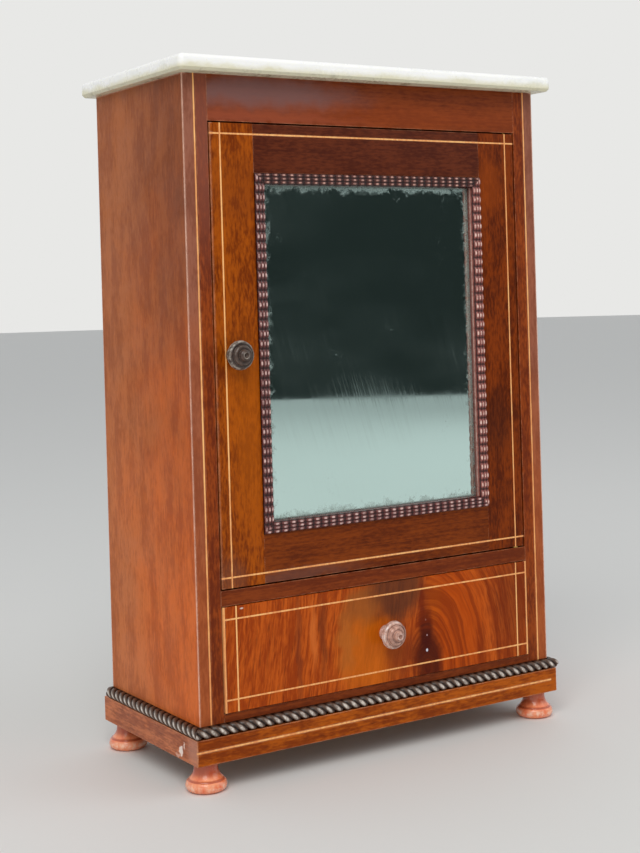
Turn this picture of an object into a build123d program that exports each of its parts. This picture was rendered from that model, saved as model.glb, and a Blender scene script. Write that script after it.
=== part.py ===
"""Table-top mirror cabinet: a marble-topped mahogany case with a mirrored door over one drawer.

The case is built the way a cabinet maker builds it: side panels with boards in housings, a tenoned face
frame, a nailed-on back, a mitred plinth on turned feet, a framed door that hangs on pivot pins and closes
with a turn latch, and a drawer with lapped dovetails. Lengths are in millimetres. +Z is up, the front
faces -Y, and z = 0 is the surface that the feet stand on.
"""
from build123d import *
import math
import os

# ---------------------------------------------------------------- driving sizes: heights, from the floor up
FOOT_HEIGHT = 18.0
PLINTH_HEIGHT = 16.1
BOTTOM_RAIL_HEIGHT = 11.9
DRAWER_OPENING_HEIGHT = 66.2
MIDDLE_RAIL_HEIGHT = 9.6
DOOR_OPENING_HEIGHT = 290.6
TOP_RAIL_HEIGHT = 28.9
MARBLE_THICKNESS = 10.0

# ---------------------------------------------------------------- driving sizes: case
CASE_WIDTH = 278.0
CASE_DEPTH = 125.0
SIDE_THICKNESS = 9.0
BACK_THICKNESS = 5.0
BACK_REBATE = 5.0
BOARD_THICKNESS = 8.0
HOUSING_DEPTH = 3.0
FRAME_THICKNESS = 12.0
CORNER_WIDTH = 17.2
FRAME_TENON_LENGTH = 6.0
FRAME_TENON_THICKNESS = 4.0
FRAME_TENON_SHOULDER = 2.0
SHELF_RISE = 140.0
SHELF_THICKNESS = 6.0
SHELF_DEPTH = 82.0
BEARER_HEIGHT = 9.0
BEARER_WIDTH = 7.0
GUIDE_HEIGHT = 11.0
DRAWER_STOP_WIDTH = 16.0
DRAWER_STOP_LENGTH = 10.0
DRAWER_STOP_HEIGHT = 2.5
DRAWER_STOP_SPREAD = 130.0
DOOR_STOP_DROP = 6.0
DOOR_STOP_WIDTH = 120.0
DOOR_STOP_THICKNESS = 6.0
NAIL_LENGTH = 11.0
NAIL_SHANK = 1.2
NAIL_HEAD = 2.6
NAIL_HEAD_THICKNESS = 0.6
DRAWER_NAIL_COUNT = 2
CUPBOARD_NAIL_COUNT = 4
NAIL_BOARD_DISTANCE = 14.0

# ---------------------------------------------------------------- driving sizes: stringing (light inlaid lines)
STRING_WIDTH = 1.0
STRING_DEPTH = 1.0
SIDE_STRING_INSET = 8.0
DOOR_STRING_SIDE_INSET = 7.3
DOOR_STRING_END_INSET = 6.6
DRAWER_STRING_SIDE_INSET = 9.3
DRAWER_STRING_END_INSET = 7.7
PLINTH_STRING_RISE = 8.6
PLINTH_STRING_STOP = 5.0

# ---------------------------------------------------------------- driving sizes: plinth, rope moulding, feet, marble
PLINTH_OVERHANG = 4.5
PLINTH_BOARD = 7.0
CORNER_BLOCK = 22.0
ROPE_HEIGHT = 6.8
ROPE_OVERHANG = 1.3
ROPE_PITCH = 6.45
ROPE_GROOVE = 1.6
ROPE_CREST = 1.7
ROPE_FACETS = 5
ROPE_SLANT = 38.0
MITRE_ANGLE = 45.0
FOOT_RADIUS = 13.0
FOOT_NECK_RADIUS = 7.6
FOOT_NECK_LENGTH = 2.0
FOOT_SOLE_RADIUS = 10.2
FOOT_BEAD_HEIGHT = 7.0
FOOT_BEAD_MIDDLE = 3.6
FOOT_BEAD_ROUND = 0.9
FOOT_QUIRK = 1.6
FOOT_QUIRK_WIDTH = 0.5
FOOT_COVE_SAG = 1.1
FOOT_INSET = 11.5
FOOT_DOWEL_RADIUS = 3.0
FOOT_DOWEL_LENGTH = 12.0
MARBLE_SIDE_OVERHANG = 7.5
MARBLE_FRONT_OVERHANG = 13.0
MARBLE_BACK_OVERHANG = 9.0
MARBLE_CORNER_RADIUS = 3.4
MARBLE_TOP_ROUND = 3.0
MARBLE_UNDER_CHAMFER = 1.8

# ---------------------------------------------------------------- driving sizes: door, mirror and pivots
DOOR_GAP = 1.0
DOOR_MEMBER = 30.8
DOOR_EDGE_ROUND = 0.8
DOOR_TENON_LENGTH = 18.0
DOOR_TENON_THICKNESS = 4.0
DOOR_TENON_SHOULDER = 5.0
MOULDING_WIDTH = 7.5
MOULDING_PROUD = 2.6
REED_WIDTH = 2.35
REED_COUNT = 3
REED_GROOVE = 0.8
RIPPLE_PITCH = 6.1
RIPPLE_DEPTH = 0.7
MIRROR_INSET = 4.2
MIRROR_THICKNESS = 3.0
MIRROR_ROOM = 0.4
MIRROR_BACK_THICKNESS = 2.6
BEAD_WIDTH = 4.0
PIVOT_INSET = 6.0
PIVOT_SETBACK = 3.2
PIN_RADIUS = 1.2
PIN_IN_RAIL = 6.0
PIN_IN_DOOR = 7.0
BUSH_RADIUS = 2.0
BUSH_LENGTH = 9.0
WASHER_RADIUS = 2.8

# ---------------------------------------------------------------- driving sizes: turned knobs and turn latch
KNOB_LENGTH = 17.5
KNOB_RADIUS = 9.2
KNOB_FLANGE_RADIUS = 5.2
KNOB_FLANGE_THICKNESS = 1.5
KNOB_NECK_RADIUS = 3.4
KNOB_NECK_HEIGHT = 4.2
KNOB_BELL_RADIUS = 5.4
KNOB_BELL_HEIGHT = 6.6
KNOB_RIM_HEIGHT = 9.3
KNOB_SHOULDER_RADIUS = 8.7
KNOB_SHOULDER_HEIGHT = 11.0
KNOB_CROWN_RADIUS = 7.0
KNOB_CROWN_HEIGHT = 12.2
KNOB_RING_RADIUS = 5.9
KNOB_RING_HEIGHT = 14.5
KNOB_STEP = 0.4
KNOB_BUTTON_RADIUS = 3.2
KNOB_DIMPLE_RADIUS = 1.2
KNOB_DIMPLE_DEPTH = 1.0
SPINDLE_RADIUS = 2.4
DRAWER_SPINDLE_LENGTH = 11.0
KNOB_EDGE_DISTANCE = 12.4
TONGUE_REACH = 19.0
TONGUE_TAIL = 5.0
TONGUE_WIDTH = 9.0
TONGUE_THICKNESS = 2.4
SCREW_RADIUS = 1.0
SCREW_LENGTH = 9.0
SCREW_HEAD_RADIUS = 3.4
SCREW_HEAD_THICKNESS = 1.2

# ---------------------------------------------------------------- driving sizes: drawer
DRAWER_PROUD = 1.0
DRAWER_GAP = 0.5
DRAWER_FRONT_THICKNESS = 13.0
DRAWER_SIDE_THICKNESS = 6.0
DRAWER_BACK_THICKNESS = 6.0
DRAWER_BOTTOM_THICKNESS = 3.0
DRAWER_BOTTOM_RISE = 4.0
DRAWER_GROOVE_DEPTH = 3.0
DRAWER_REAR_ROOM = 4.0
DRAWER_SIDE_DROP = 3.0
LIPPING_THICKNESS = 1.2
DOVETAIL_COUNT = 3
DOVETAIL_LAP = 4.0
DOVETAIL_FLARE = 1.5
DOVETAIL_WIDTH = 9.0

# ---------------------------------------------------------------- fits
RUNNING_CLEARANCE = 0.05
SEAT_CLEARANCE = 0.02
SLIDING_CLEARANCE = 0.2
STOP_CLEARANCE = 0.3
TENON_END_ROOM = 0.5

# ---------------------------------------------------------------- levels and planes that follow from the sizes
case_bottom = FOOT_HEIGHT + PLINTH_HEIGHT
drawer_floor = case_bottom + BOTTOM_RAIL_HEIGHT
drawer_ceiling = drawer_floor + DRAWER_OPENING_HEIGHT
door_sill = drawer_ceiling + MIDDLE_RAIL_HEIGHT
door_head = door_sill + DOOR_OPENING_HEIGHT
case_top = door_head + TOP_RAIL_HEIGHT

front_reach = DRAWER_PROUD + KNOB_LENGTH
rear_reach = max(MARBLE_BACK_OVERHANG, PLINTH_OVERHANG)
front = (front_reach - CASE_DEPTH - rear_reach) / 2
back = front + CASE_DEPTH
frame_back = front + FRAME_THICKNESS
back_panel_front = back - BACK_THICKNESS

half_width = CASE_WIDTH / 2
inner_half = half_width - SIDE_THICKNESS
opening_half = half_width - CORNER_WIDTH

door_half = opening_half - DOOR_GAP
door_bottom = door_sill + DOOR_GAP
door_top = door_head - DOOR_GAP
frame_sight_half = door_half - DOOR_MEMBER
frame_sight_bottom = door_bottom + DOOR_MEMBER
frame_sight_top = door_top - DOOR_MEMBER
pivot_x = door_half - PIVOT_INSET
pivot_y = front + PIVOT_SETBACK
mirror_front = front + MIRROR_INSET
mirror_back = mirror_front + MIRROR_THICKNESS
backboard_back = mirror_back + MIRROR_BACK_THICKNESS
door_knob_x = KNOB_EDGE_DISTANCE - door_half
door_knob_z = (door_bottom + door_top) / 2
tongue_front = frame_back + STOP_CLEARANCE
tongue_back = tongue_front + TONGUE_THICKNESS

drawer_face = front - DRAWER_PROUD
drawer_front_back = drawer_face + DRAWER_FRONT_THICKNESS
drawer_lap = drawer_face + DOVETAIL_LAP
drawer_rear = back_panel_front - DRAWER_REAR_ROOM
drawer_back_front = drawer_rear - DRAWER_BACK_THICKNESS
drawer_half = opening_half - DRAWER_GAP
drawer_inner_half = drawer_half - DRAWER_SIDE_THICKNESS
drawer_low = drawer_floor + DRAWER_GAP
drawer_high = drawer_ceiling - DRAWER_GAP
drawer_side_low = drawer_floor + SLIDING_CLEARANCE
drawer_side_top = drawer_high - DRAWER_SIDE_DROP
drawer_bottom_low = drawer_floor + DRAWER_BOTTOM_RISE
drawer_bottom_high = drawer_bottom_low + DRAWER_BOTTOM_THICKNESS

plinth_half = half_width + PLINTH_OVERHANG
plinth_front_face = front - PLINTH_OVERHANG
plinth_back_face = back + PLINTH_OVERHANG


# ---------------------------------------------------------------- small helpers
def block(x0, x1, y0, y1, z0, z1):
    """Box between two corners."""
    return Pos((x0 + x1) / 2, (y0 + y1) / 2, (z0 + z1) / 2) * Box(abs(x1 - x0), y1 - y0, z1 - z0)


def left_of(shape):
    """The same piece on the other side of the middle plane of the case."""
    return mirror(shape, about=Plane.YZ)


def peg(point, direction, radius, length):
    """Round peg that starts at a point and runs along a direction."""
    return extrude(Plane(origin=point, z_dir=direction) * Circle(radius), amount=length)


def node(name, *solids):
    """Write one node: one solid, or several like solids that stay apart."""
    shape = solids[0] if len(solids) == 1 else Compound(children=list(solids))
    export_step(shape, f"parts/{name}.step")


def turned(outline, point, direction):
    """Turned piece: a closed outline of (radius, height) points turned on its axis, stood on a point."""
    section = make_face(Plane.XZ * Polyline(*outline, close=True))
    return Plane(origin=point, z_dir=direction) * revolve(section, axis=Axis.Z, revolution_arc=360)


def ridged_bar(length, pitch, depth, crest, base, thickness):
    """Bar along X whose top is a row of ridges, sharp or flat; crests are at 0 and the base is at -base."""
    count = max(1, math.ceil(length / pitch / 2)) * 2
    start = -count * pitch / 2
    outline = [(start, -base)]
    for i in range(count):
        middle = start + (i + 0.5) * pitch
        outline.append((middle - pitch / 2, -depth))
        outline += [(middle - crest / 2, 0), (middle + crest / 2, 0)] if crest else [(middle, 0)]
    outline += [(-start, -depth), (-start, -base)]
    return extrude(make_face(Polyline(*outline, close=True)), amount=thickness / 2, both=True)


# ---------------------------------------------------------------- case
def nail_places():
    """Heights of the nails down each side of the back, which miss the ends of the housed boards."""
    bays = ((drawer_floor, door_sill - BOARD_THICKNESS, DRAWER_NAIL_COUNT),
            (door_sill, case_top - BOARD_THICKNESS, CUPBOARD_NAIL_COUNT))
    places = []
    for low, high, count in bays:
        step = (high - low - 2 * NAIL_BOARD_DISTANCE) / (count - 1)
        places += [low + NAIL_BOARD_DISTANCE + step * i for i in range(count)]
    return places


def nail_bars(side, start, end):
    """Square bars on the nail places of the right side, from one depth to another."""
    x = inner_half + BACK_REBATE / 2
    return [block(x - side / 2, x + side / 2, start, end, z - side / 2, z + side / 2)
            for z in nail_places()]


def nail_holes():
    """Holes for the nails of the right side."""
    return nail_bars(NAIL_SHANK + 2 * SEAT_CLEARANCE, back - NAIL_LENGTH - SEAT_CLEARANCE, back)


def housed_boards():
    """Top, divider and bottom boards, which end in housings in the side panels."""
    reach = inner_half + HOUSING_DEPTH
    tops = {"top_board": case_top, "divider_board": door_sill, "bottom_board": drawer_floor}
    return {name: block(-reach, reach, frame_back, back_panel_front, top - BOARD_THICKNESS, top)
            for name, top in tops.items()}


def side_string():
    """Light line inlaid down the front edge of the right side panel, beside the stile."""
    x = half_width - SIDE_STRING_INSET
    return block(x - STRING_WIDTH / 2, x + STRING_WIDTH / 2, front, front + STRING_DEPTH,
                 case_bottom, case_top)


def side_panel(boards):
    """Right side panel, which runs to the front; housed for the boards and rebated for the back."""
    panel = block(inner_half, half_width, front, back, case_bottom, case_top)
    rebate = block(inner_half, inner_half + BACK_REBATE, back_panel_front, back, case_bottom, case_top)
    return panel - rebate - list(boards.values()) - nail_holes() - side_string()


def back_panel():
    """Back board in the rebates of the side panels."""
    reach = inner_half + BACK_REBATE
    holes = nail_holes()
    panel = block(-reach, reach, back_panel_front, back, case_bottom, case_top)
    return panel - holes - [left_of(hole) for hole in holes]


def back_nails():
    """Square cut nails of the back, both sides, with their heads."""
    shanks = nail_bars(NAIL_SHANK, back - NAIL_LENGTH, back)
    heads = nail_bars(NAIL_HEAD, back, back + NAIL_HEAD_THICKNESS)
    right = [shank + head for shank, head in zip(shanks, heads)]
    return right + [left_of(nail) for nail in right]


def shelf_level():
    """Underside of the shelf."""
    return door_sill + SHELF_RISE


def shelf():
    """Loose shelf behind the door."""
    room = SLIDING_CLEARANCE
    low = shelf_level()
    return block(room - inner_half, inner_half - room, back_panel_front - SHELF_DEPTH,
                 back_panel_front, low, low + SHELF_THICKNESS)


def shelf_bearer():
    """Right strip that the shelf lies on."""
    level = shelf_level()
    return block(inner_half - BEARER_WIDTH, inner_half, back_panel_front - SHELF_DEPTH,
                 back_panel_front, level - BEARER_HEIGHT, level)


def drawer_guide():
    """Right strip that keeps the drawer in line with its opening."""
    return block(opening_half, inner_half, frame_back, back_panel_front,
                 drawer_floor, drawer_floor + GUIDE_HEIGHT)


def drawer_stop():
    """Right block that meets the back of the drawer front when the drawer is shut."""
    x = DRAWER_STOP_SPREAD / 2
    y = drawer_front_back + STOP_CLEARANCE
    return block(x - DRAWER_STOP_WIDTH / 2, x + DRAWER_STOP_WIDTH / 2, y, y + DRAWER_STOP_LENGTH,
                 drawer_floor, drawer_floor + DRAWER_STOP_HEIGHT)


def door_stop():
    """Strip under the top board that the head of the shut door meets."""
    y = frame_back + STOP_CLEARANCE
    return block(-DOOR_STOP_WIDTH / 2, DOOR_STOP_WIDTH / 2, y, y + DOOR_STOP_THICKNESS,
                 door_top - DOOR_STOP_DROP, case_top - BOARD_THICKNESS)


# ---------------------------------------------------------------- face frame
def frame_tenon(low, high, room):
    """Right tenon of a rail, or with room its mortise."""
    middle = front + FRAME_THICKNESS / 2
    return block(opening_half, opening_half + FRAME_TENON_LENGTH + room,
                 middle - FRAME_TENON_THICKNESS / 2, middle + FRAME_TENON_THICKNESS / 2,
                 low + FRAME_TENON_SHOULDER, high - FRAME_TENON_SHOULDER)


def rail_levels():
    """Bottom and top of each rail of the face frame."""
    return {"bottom_rail": (case_bottom, drawer_floor), "middle_rail": (drawer_ceiling, door_sill),
            "top_rail": (door_head, case_top)}


def frame_rail(low, high):
    """Rail between the stiles, with its two tenons."""
    tenon = frame_tenon(low, high, 0)
    return block(-opening_half, opening_half, front, frame_back, low, high) + tenon + left_of(tenon)


def frame_stile():
    """Right stile of the face frame, glued inside the side panel."""
    stile = block(opening_half, inner_half, front, frame_back, case_bottom, case_top)
    mortises = [frame_tenon(low, high, TENON_END_ROOM) for low, high in rail_levels().values()]
    return stile - mortises


def pivot_pin(level, up):
    """Brass pin in a rail, and the part of it that stands in the door."""
    root = level - up * PIN_IN_RAIL
    return peg((pivot_x, pivot_y, root), (0, 0, up), PIN_RADIUS, PIN_IN_RAIL + DOOR_GAP + PIN_IN_DOOR)


def pivot_hole(level, up):
    """Hole in a rail for a pivot pin."""
    return peg((pivot_x, pivot_y, level), (0, 0, -up), PIN_RADIUS + SEAT_CLEARANCE,
               PIN_IN_RAIL + SEAT_CLEARANCE)


def pivot_washer():
    """Brass washer on the lower pin, which carries the door."""
    washer = peg((pivot_x, pivot_y, door_sill), (0, 0, 1), WASHER_RADIUS, DOOR_GAP - RUNNING_CLEARANCE)
    return washer - peg((pivot_x, pivot_y, door_sill), (0, 0, 1), PIN_RADIUS + SEAT_CLEARANCE, DOOR_GAP)


# ---------------------------------------------------------------- marble, plinth, rope moulding and feet
def marble_slab():
    """Marble top with round corners and eased edges."""
    width = CASE_WIDTH + 2 * MARBLE_SIDE_OVERHANG
    depth = CASE_DEPTH + MARBLE_FRONT_OVERHANG + MARBLE_BACK_OVERHANG
    middle = (front - MARBLE_FRONT_OVERHANG + back + MARBLE_BACK_OVERHANG) / 2
    outline = Pos(0, middle, case_top) * RectangleRounded(width, depth, MARBLE_CORNER_RADIUS)
    slab = extrude(outline, amount=MARBLE_THICKNESS)
    slab = fillet(slab.edges().group_by(Axis.Z)[-1], MARBLE_TOP_ROUND)
    return chamfer(slab.edges().group_by(Axis.Z)[0], MARBLE_UNDER_CHAMFER)


def mitred_ring(low, high, outer_half, outer_front, outer_back, board):
    """Four boards round a rectangle, cut at 45 degrees where they meet, as front, right, back, left."""
    x0, x1, y0, y1 = -outer_half, outer_half, outer_front, outer_back
    outer = [(x0, y0), (x1, y0), (x1, y1), (x0, y1)]
    inner = [(x0 + board, y0 + board), (x1 - board, y0 + board),
             (x1 - board, y1 - board), (x0 + board, y1 - board)]
    boards = []
    for i in range(4):
        j = (i + 1) % 4
        outline = Polyline(outer[i], outer[j], inner[j], inner[i], close=True)
        boards.append(extrude(Pos(0, 0, low) * make_face(outline), amount=high - low))
    return boards


def plinth_string():
    """Light line inlaid along the front of the plinth, which stops short of the right corner."""
    z = FOOT_HEIGHT + PLINTH_STRING_RISE
    return block(-plinth_half, plinth_half - PLINTH_STRING_STOP, plinth_front_face,
                 plinth_front_face + STRING_DEPTH,
                 z - STRING_WIDTH / 2, z + STRING_WIDTH / 2)


def foot_places():
    """Centres of the four feet."""
    x = plinth_half - FOOT_INSET
    y_front = plinth_front_face + FOOT_INSET
    y_back = plinth_back_face - FOOT_INSET
    return [(-x, y_front), (x, y_front), (-x, y_back), (x, y_back)]


def corner_blocks():
    """Blocks in the corners of the plinth, bored for the dowels of the feet."""
    x = plinth_half - PLINTH_BOARD - CORNER_BLOCK / 2
    y_front = plinth_front_face + PLINTH_BOARD + CORNER_BLOCK / 2
    y_back = plinth_back_face - PLINTH_BOARD - CORNER_BLOCK / 2
    z = FOOT_HEIGHT + PLINTH_HEIGHT / 2
    blocks = [Pos(sx * x, y, z) * Box(CORNER_BLOCK, CORNER_BLOCK, PLINTH_HEIGHT)
              for sx in (-1, 1) for y in (y_front, y_back)]
    bores = [peg((fx, fy, FOOT_HEIGHT), (0, 0, 1), FOOT_DOWEL_RADIUS + SEAT_CLEARANCE,
                 FOOT_DOWEL_LENGTH + TENON_END_ROOM) for fx, fy in foot_places()]
    return [corner - bores for corner in blocks]


def foot(place):
    """Turned foot: a bead on the floor, a quirk, a cove up to the neck, and a dowel."""
    top = FOOT_HEIGHT + FOOT_DOWEL_LENGTH
    bead_foot = (FOOT_RADIUS - FOOT_BEAD_ROUND, FOOT_BEAD_ROUND)
    bead_top = (FOOT_RADIUS - FOOT_BEAD_ROUND, FOOT_BEAD_HEIGHT - FOOT_BEAD_ROUND)
    quirk = (FOOT_RADIUS - FOOT_QUIRK, FOOT_BEAD_HEIGHT)
    cove_foot = (FOOT_RADIUS - FOOT_QUIRK, FOOT_BEAD_HEIGHT + FOOT_QUIRK_WIDTH)
    neck = (FOOT_NECK_RADIUS, FOOT_HEIGHT - FOOT_NECK_LENGTH)
    cove_middle = ((cove_foot[0] + neck[0]) / 2 - FOOT_COVE_SAG, (cove_foot[1] + neck[1]) / 2 - FOOT_COVE_SAG)
    outline = [(0, 0), (FOOT_SOLE_RADIUS, 0), bead_foot, (FOOT_RADIUS, FOOT_BEAD_MIDDLE), bead_top, quirk,
               cove_foot, cove_middle, neck, (FOOT_NECK_RADIUS, FOOT_HEIGHT),
               (FOOT_DOWEL_RADIUS, FOOT_HEIGHT), (FOOT_DOWEL_RADIUS, top), (0, top)]
    return turned(outline, (*place, 0), (0, 0, 1))


def rope_bar(length):
    """Twisted rope moulding along X: strands that lie aslant on a bar with a half-round front.

    The back of the bar is in the plane y = 0, it bulges towards -Y, and its underside is at z = 0.
    """
    radius = ROPE_HEIGHT / 2
    reach = PLINTH_OVERHANG + ROPE_OVERHANG
    turns = [math.pi * i / ROPE_FACETS for i in range(ROPE_FACETS + 1)]
    half_round = [(radius - reach - radius * math.sin(t), radius - radius * math.cos(t)) for t in turns]
    section = Polyline((0, 0), *half_round, (0, ROPE_HEIGHT), close=True)
    plane = Plane(origin=(-length / 2, 0, 0), x_dir=(0, 1, 0), z_dir=(1, 0, 0))
    bar = extrude(plane * make_face(section), amount=length)
    slant = math.radians(ROPE_SLANT)
    across = (math.sin(slant), 0, math.cos(slant))
    along = (math.cos(slant), 0, -math.sin(slant))
    span = length * math.sin(slant) + 2 * ROPE_HEIGHT
    strands = ridged_bar(span, ROPE_PITCH * math.sin(slant), ROPE_GROOVE, ROPE_CREST, reach, 2 * length)
    return bar & (Plane(origin=(0, -reach, radius), x_dir=across, z_dir=along) * strands)


def corner_wedge(side_part):
    """Half-space beyond the mitre at the front right corner of the case, or on its other side."""
    size = 8 * (PLINTH_OVERHANG + ROPE_OVERHANG)
    turn = MITRE_ANGLE - 180 if side_part else MITRE_ANGLE
    wedge = Rot(0, 0, turn) * block(0, size, -size, size, -size, size)
    return Pos(half_width, front, case_bottom) * wedge


def rope_front():
    """Rope moulding along the front, mitred at both ends."""
    reach = PLINTH_OVERHANG + ROPE_OVERHANG
    bar = Pos(0, front, case_bottom) * rope_bar(2 * (half_width + reach))
    wedge = corner_wedge(side_part=False)
    return bar - wedge - left_of(wedge)


def rope_right():
    """Rope moulding along the right side, mitred at the front and square at the back."""
    reach = PLINTH_OVERHANG + ROPE_OVERHANG
    length = CASE_DEPTH + reach
    bar = mirror(rope_bar(length), about=Plane.YZ)
    placed = Pos(half_width, back - length / 2, case_bottom) * Rot(0, 0, 90) * bar
    return placed - corner_wedge(side_part=True)


# ---------------------------------------------------------------- door
def door_strings():
    """Light lines inlaid in the door, which cross near its corners and run out to its edges."""
    x = door_half - DOOR_STRING_SIDE_INSET
    half = STRING_WIDTH / 2
    upright = block(x - half, x + half, front, front + STRING_DEPTH, door_bottom, door_top)
    bars = [upright, left_of(upright)]
    for z in (door_bottom + DOOR_STRING_END_INSET, door_top - DOOR_STRING_END_INSET):
        bars.append(block(-door_half, door_half, front, front + STRING_DEPTH, z - half, z + half))
    return bars


def door_tenon(low, high, room):
    """Right tenon of a door rail, or with room its mortise."""
    middle = front + FRAME_THICKNESS / 2
    return block(frame_sight_half, frame_sight_half + DOOR_TENON_LENGTH + room,
                 middle - DOOR_TENON_THICKNESS / 2, middle + DOOR_TENON_THICKNESS / 2,
                 low + DOOR_TENON_SHOULDER, high - DOOR_TENON_SHOULDER)


def door_rail_levels():
    """Bottom and top of each rail of the door."""
    return {"door_rail_bottom": (door_bottom, frame_sight_bottom),
            "door_rail_top": (frame_sight_top, door_top)}


def door_rail(low, high):
    """Door rail with its two tenons."""
    tenon = door_tenon(low, high, 0)
    rail = block(-frame_sight_half, frame_sight_half, front, frame_back, low, high)
    return rail + tenon + left_of(tenon) - door_strings()


def door_stile():
    """Right stile of the door, mortised for the rails; its outer edge is eased."""
    stile = block(frame_sight_half, door_half, front, frame_back, door_bottom, door_top)
    stile = fillet(stile.edges().filter_by(Axis.Z).group_by(Axis.X)[-1], DOOR_EDGE_ROUND)
    mortises = [door_tenon(low, high, TENON_END_ROOM) for low, high in door_rail_levels().values()]
    return stile - mortises


def pivot_bush(level, up):
    """Brass bush let into an end of the right stile, which turns on a pivot pin."""
    outer = peg((pivot_x, pivot_y, level), (0, 0, up), BUSH_RADIUS, BUSH_LENGTH)
    return outer - peg((pivot_x, pivot_y, level), (0, 0, up), PIN_RADIUS + RUNNING_CLEARANCE,
                       PIN_IN_DOOR + STOP_CLEARANCE)


def bush_socket(level, up):
    """Hole in the door for a pivot bush."""
    return peg((pivot_x, pivot_y, level), (0, 0, up), BUSH_RADIUS + SEAT_CLEARANCE,
               BUSH_LENGTH + SEAT_CLEARANCE)


def ripple_bar(length):
    """Ripple moulding along X: wavy reeds beside a bevel that slopes down to the glass.

    The outer side is at z = 0, the sight edge at z = MOULDING_WIDTH, and the crests are at y = 0.
    """
    reeds = REED_COUNT * REED_WIDTH
    depth = MOULDING_PROUD + MIRROR_INSET
    sight = MOULDING_WIDTH
    waves = ridged_bar(length, RIPPLE_PITCH, RIPPLE_DEPTH, 0, depth, reeds)
    ripples = Pos(0, 0, reeds / 2) * mirror(waves, about=Plane.XZ)
    ends = [block(side * length / 2, side * (length / 2 + 2 * RIPPLE_PITCH), -depth, 2 * depth, -sight, sight)
            for side in (-1, 1)]
    grooves = [extrude(Plane(origin=(-length / 2, 0, i * REED_WIDTH), x_dir=(0, 1, 0), z_dir=(1, 0, 0))
                       * make_face(Polyline((0, -REED_GROOVE / 2), (RIPPLE_DEPTH + REED_GROOVE, 0),
                                            (0, REED_GROOVE / 2), close=True)), amount=length)
               for i in range(1, REED_COUNT)]
    bevel = Polyline((RIPPLE_DEPTH, reeds), (depth, reeds), (depth, sight), (depth - REED_GROOVE, sight),
                     close=True)
    plane = Plane(origin=(-length / 2, 0, 0), x_dir=(0, 1, 0), z_dir=(1, 0, 0))
    return ripples - ends - grooves + extrude(plane * make_face(bevel), amount=length)


def mitre_cut(bar, length):
    """Cut both ends of a moulding at 45 degrees, so that it is shorter at its sight edge."""
    width = MOULDING_WIDTH
    reach = 4 * width
    wedge = prism_xz([(length / 2, 0), (length / 2 + reach, 0), (length / 2 + reach, reach),
                      (length / 2 - reach, reach)], reach)
    return bar - wedge - left_of(wedge)


def prism_xz(points, reach):
    """Prism on an outline in X and Z that runs far to both sides along Y."""
    return extrude(Plane.XZ * make_face(Polyline(*points, close=True)), amount=reach, both=True)


def mirror_moulding(length, across, turn):
    """One side of the moulding round the glass, turned about the middle of the door."""
    bar = mitre_cut(ripple_bar(length), length)
    placed = Pos(0, front - MOULDING_PROUD, -across) * bar
    return Pos(0, 0, door_knob_z) * Rot(0, turn, 0) * placed


def glass_plate(y0, y1):
    """Plate that fills the door frame behind the moulding."""
    half = frame_sight_half - MIRROR_ROOM
    return block(-half, half, y0, y1, frame_sight_bottom + MIRROR_ROOM, frame_sight_top - MIRROR_ROOM)


def glazing_beads():
    """Beads that hold the glass and its backboard in the frame."""
    ring = [(-frame_sight_half, frame_sight_bottom), (frame_sight_half, frame_sight_bottom),
            (frame_sight_half, frame_sight_top), (-frame_sight_half, frame_sight_top)]
    inner = [(x - math.copysign(BEAD_WIDTH, x), z + (BEAD_WIDTH if z < door_knob_z else -BEAD_WIDTH))
             for x, z in ring]
    plane = Plane(origin=(0, frame_back, 0), x_dir=(1, 0, 0), z_dir=(0, -1, 0))
    beads = []
    for i in range(4):
        j = (i + 1) % 4
        outline = make_face(Polyline(ring[i], ring[j], inner[j], inner[i], close=True))
        beads.append(extrude(plane * outline, amount=frame_back - backboard_back))
    return beads


# ---------------------------------------------------------------- knobs and turn latch
def knob(point, spindle_length):
    """Turned knob with its spindle; it stands out towards -Y from a point on a front face."""
    flange = (KNOB_FLANGE_RADIUS, KNOB_FLANGE_THICKNESS)
    neck = (KNOB_NECK_RADIUS, KNOB_NECK_HEIGHT)
    bell = (KNOB_BELL_RADIUS, KNOB_BELL_HEIGHT)
    rim = (KNOB_RADIUS, KNOB_RIM_HEIGHT)
    shoulder = (KNOB_SHOULDER_RADIUS, KNOB_SHOULDER_HEIGHT)
    crown = (KNOB_CROWN_RADIUS, KNOB_CROWN_HEIGHT)
    ring = (KNOB_RING_RADIUS, KNOB_CROWN_HEIGHT + KNOB_STEP)
    ring_top = (KNOB_BUTTON_RADIUS + KNOB_STEP, KNOB_RING_HEIGHT)
    button = (KNOB_BUTTON_RADIUS, KNOB_RING_HEIGHT + KNOB_STEP)
    tip = (KNOB_DIMPLE_RADIUS, KNOB_LENGTH)
    outline = [(0, -spindle_length), (SPINDLE_RADIUS, -spindle_length), (SPINDLE_RADIUS, 0),
               (KNOB_FLANGE_RADIUS, 0), flange, neck, bell, rim, shoulder, crown, ring, ring_top, button, tip,
               (0, KNOB_LENGTH - KNOB_DIMPLE_DEPTH)]
    return turned(outline, point, (0, -1, 0))


def latch_screw(clearance):
    """Screw that holds the tongue on the end of the door knob's spindle."""
    end = (door_knob_x, tongue_back, door_knob_z)
    return peg(end, (0, -1, 0), SCREW_RADIUS + clearance, SCREW_LENGTH + clearance)


def latch_tongue():
    """Brass tongue behind the door; it stands upright when the latch is open."""
    half = TONGUE_WIDTH / 2
    body = block(door_knob_x - half, door_knob_x + half, tongue_front, tongue_back,
                 door_knob_z - TONGUE_TAIL, door_knob_z + TONGUE_REACH - half)
    tip = peg((door_knob_x, tongue_front, door_knob_z + TONGUE_REACH - half), (0, 1, 0), half,
              TONGUE_THICKNESS)
    return body + tip - latch_screw(SEAT_CLEARANCE)


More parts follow.
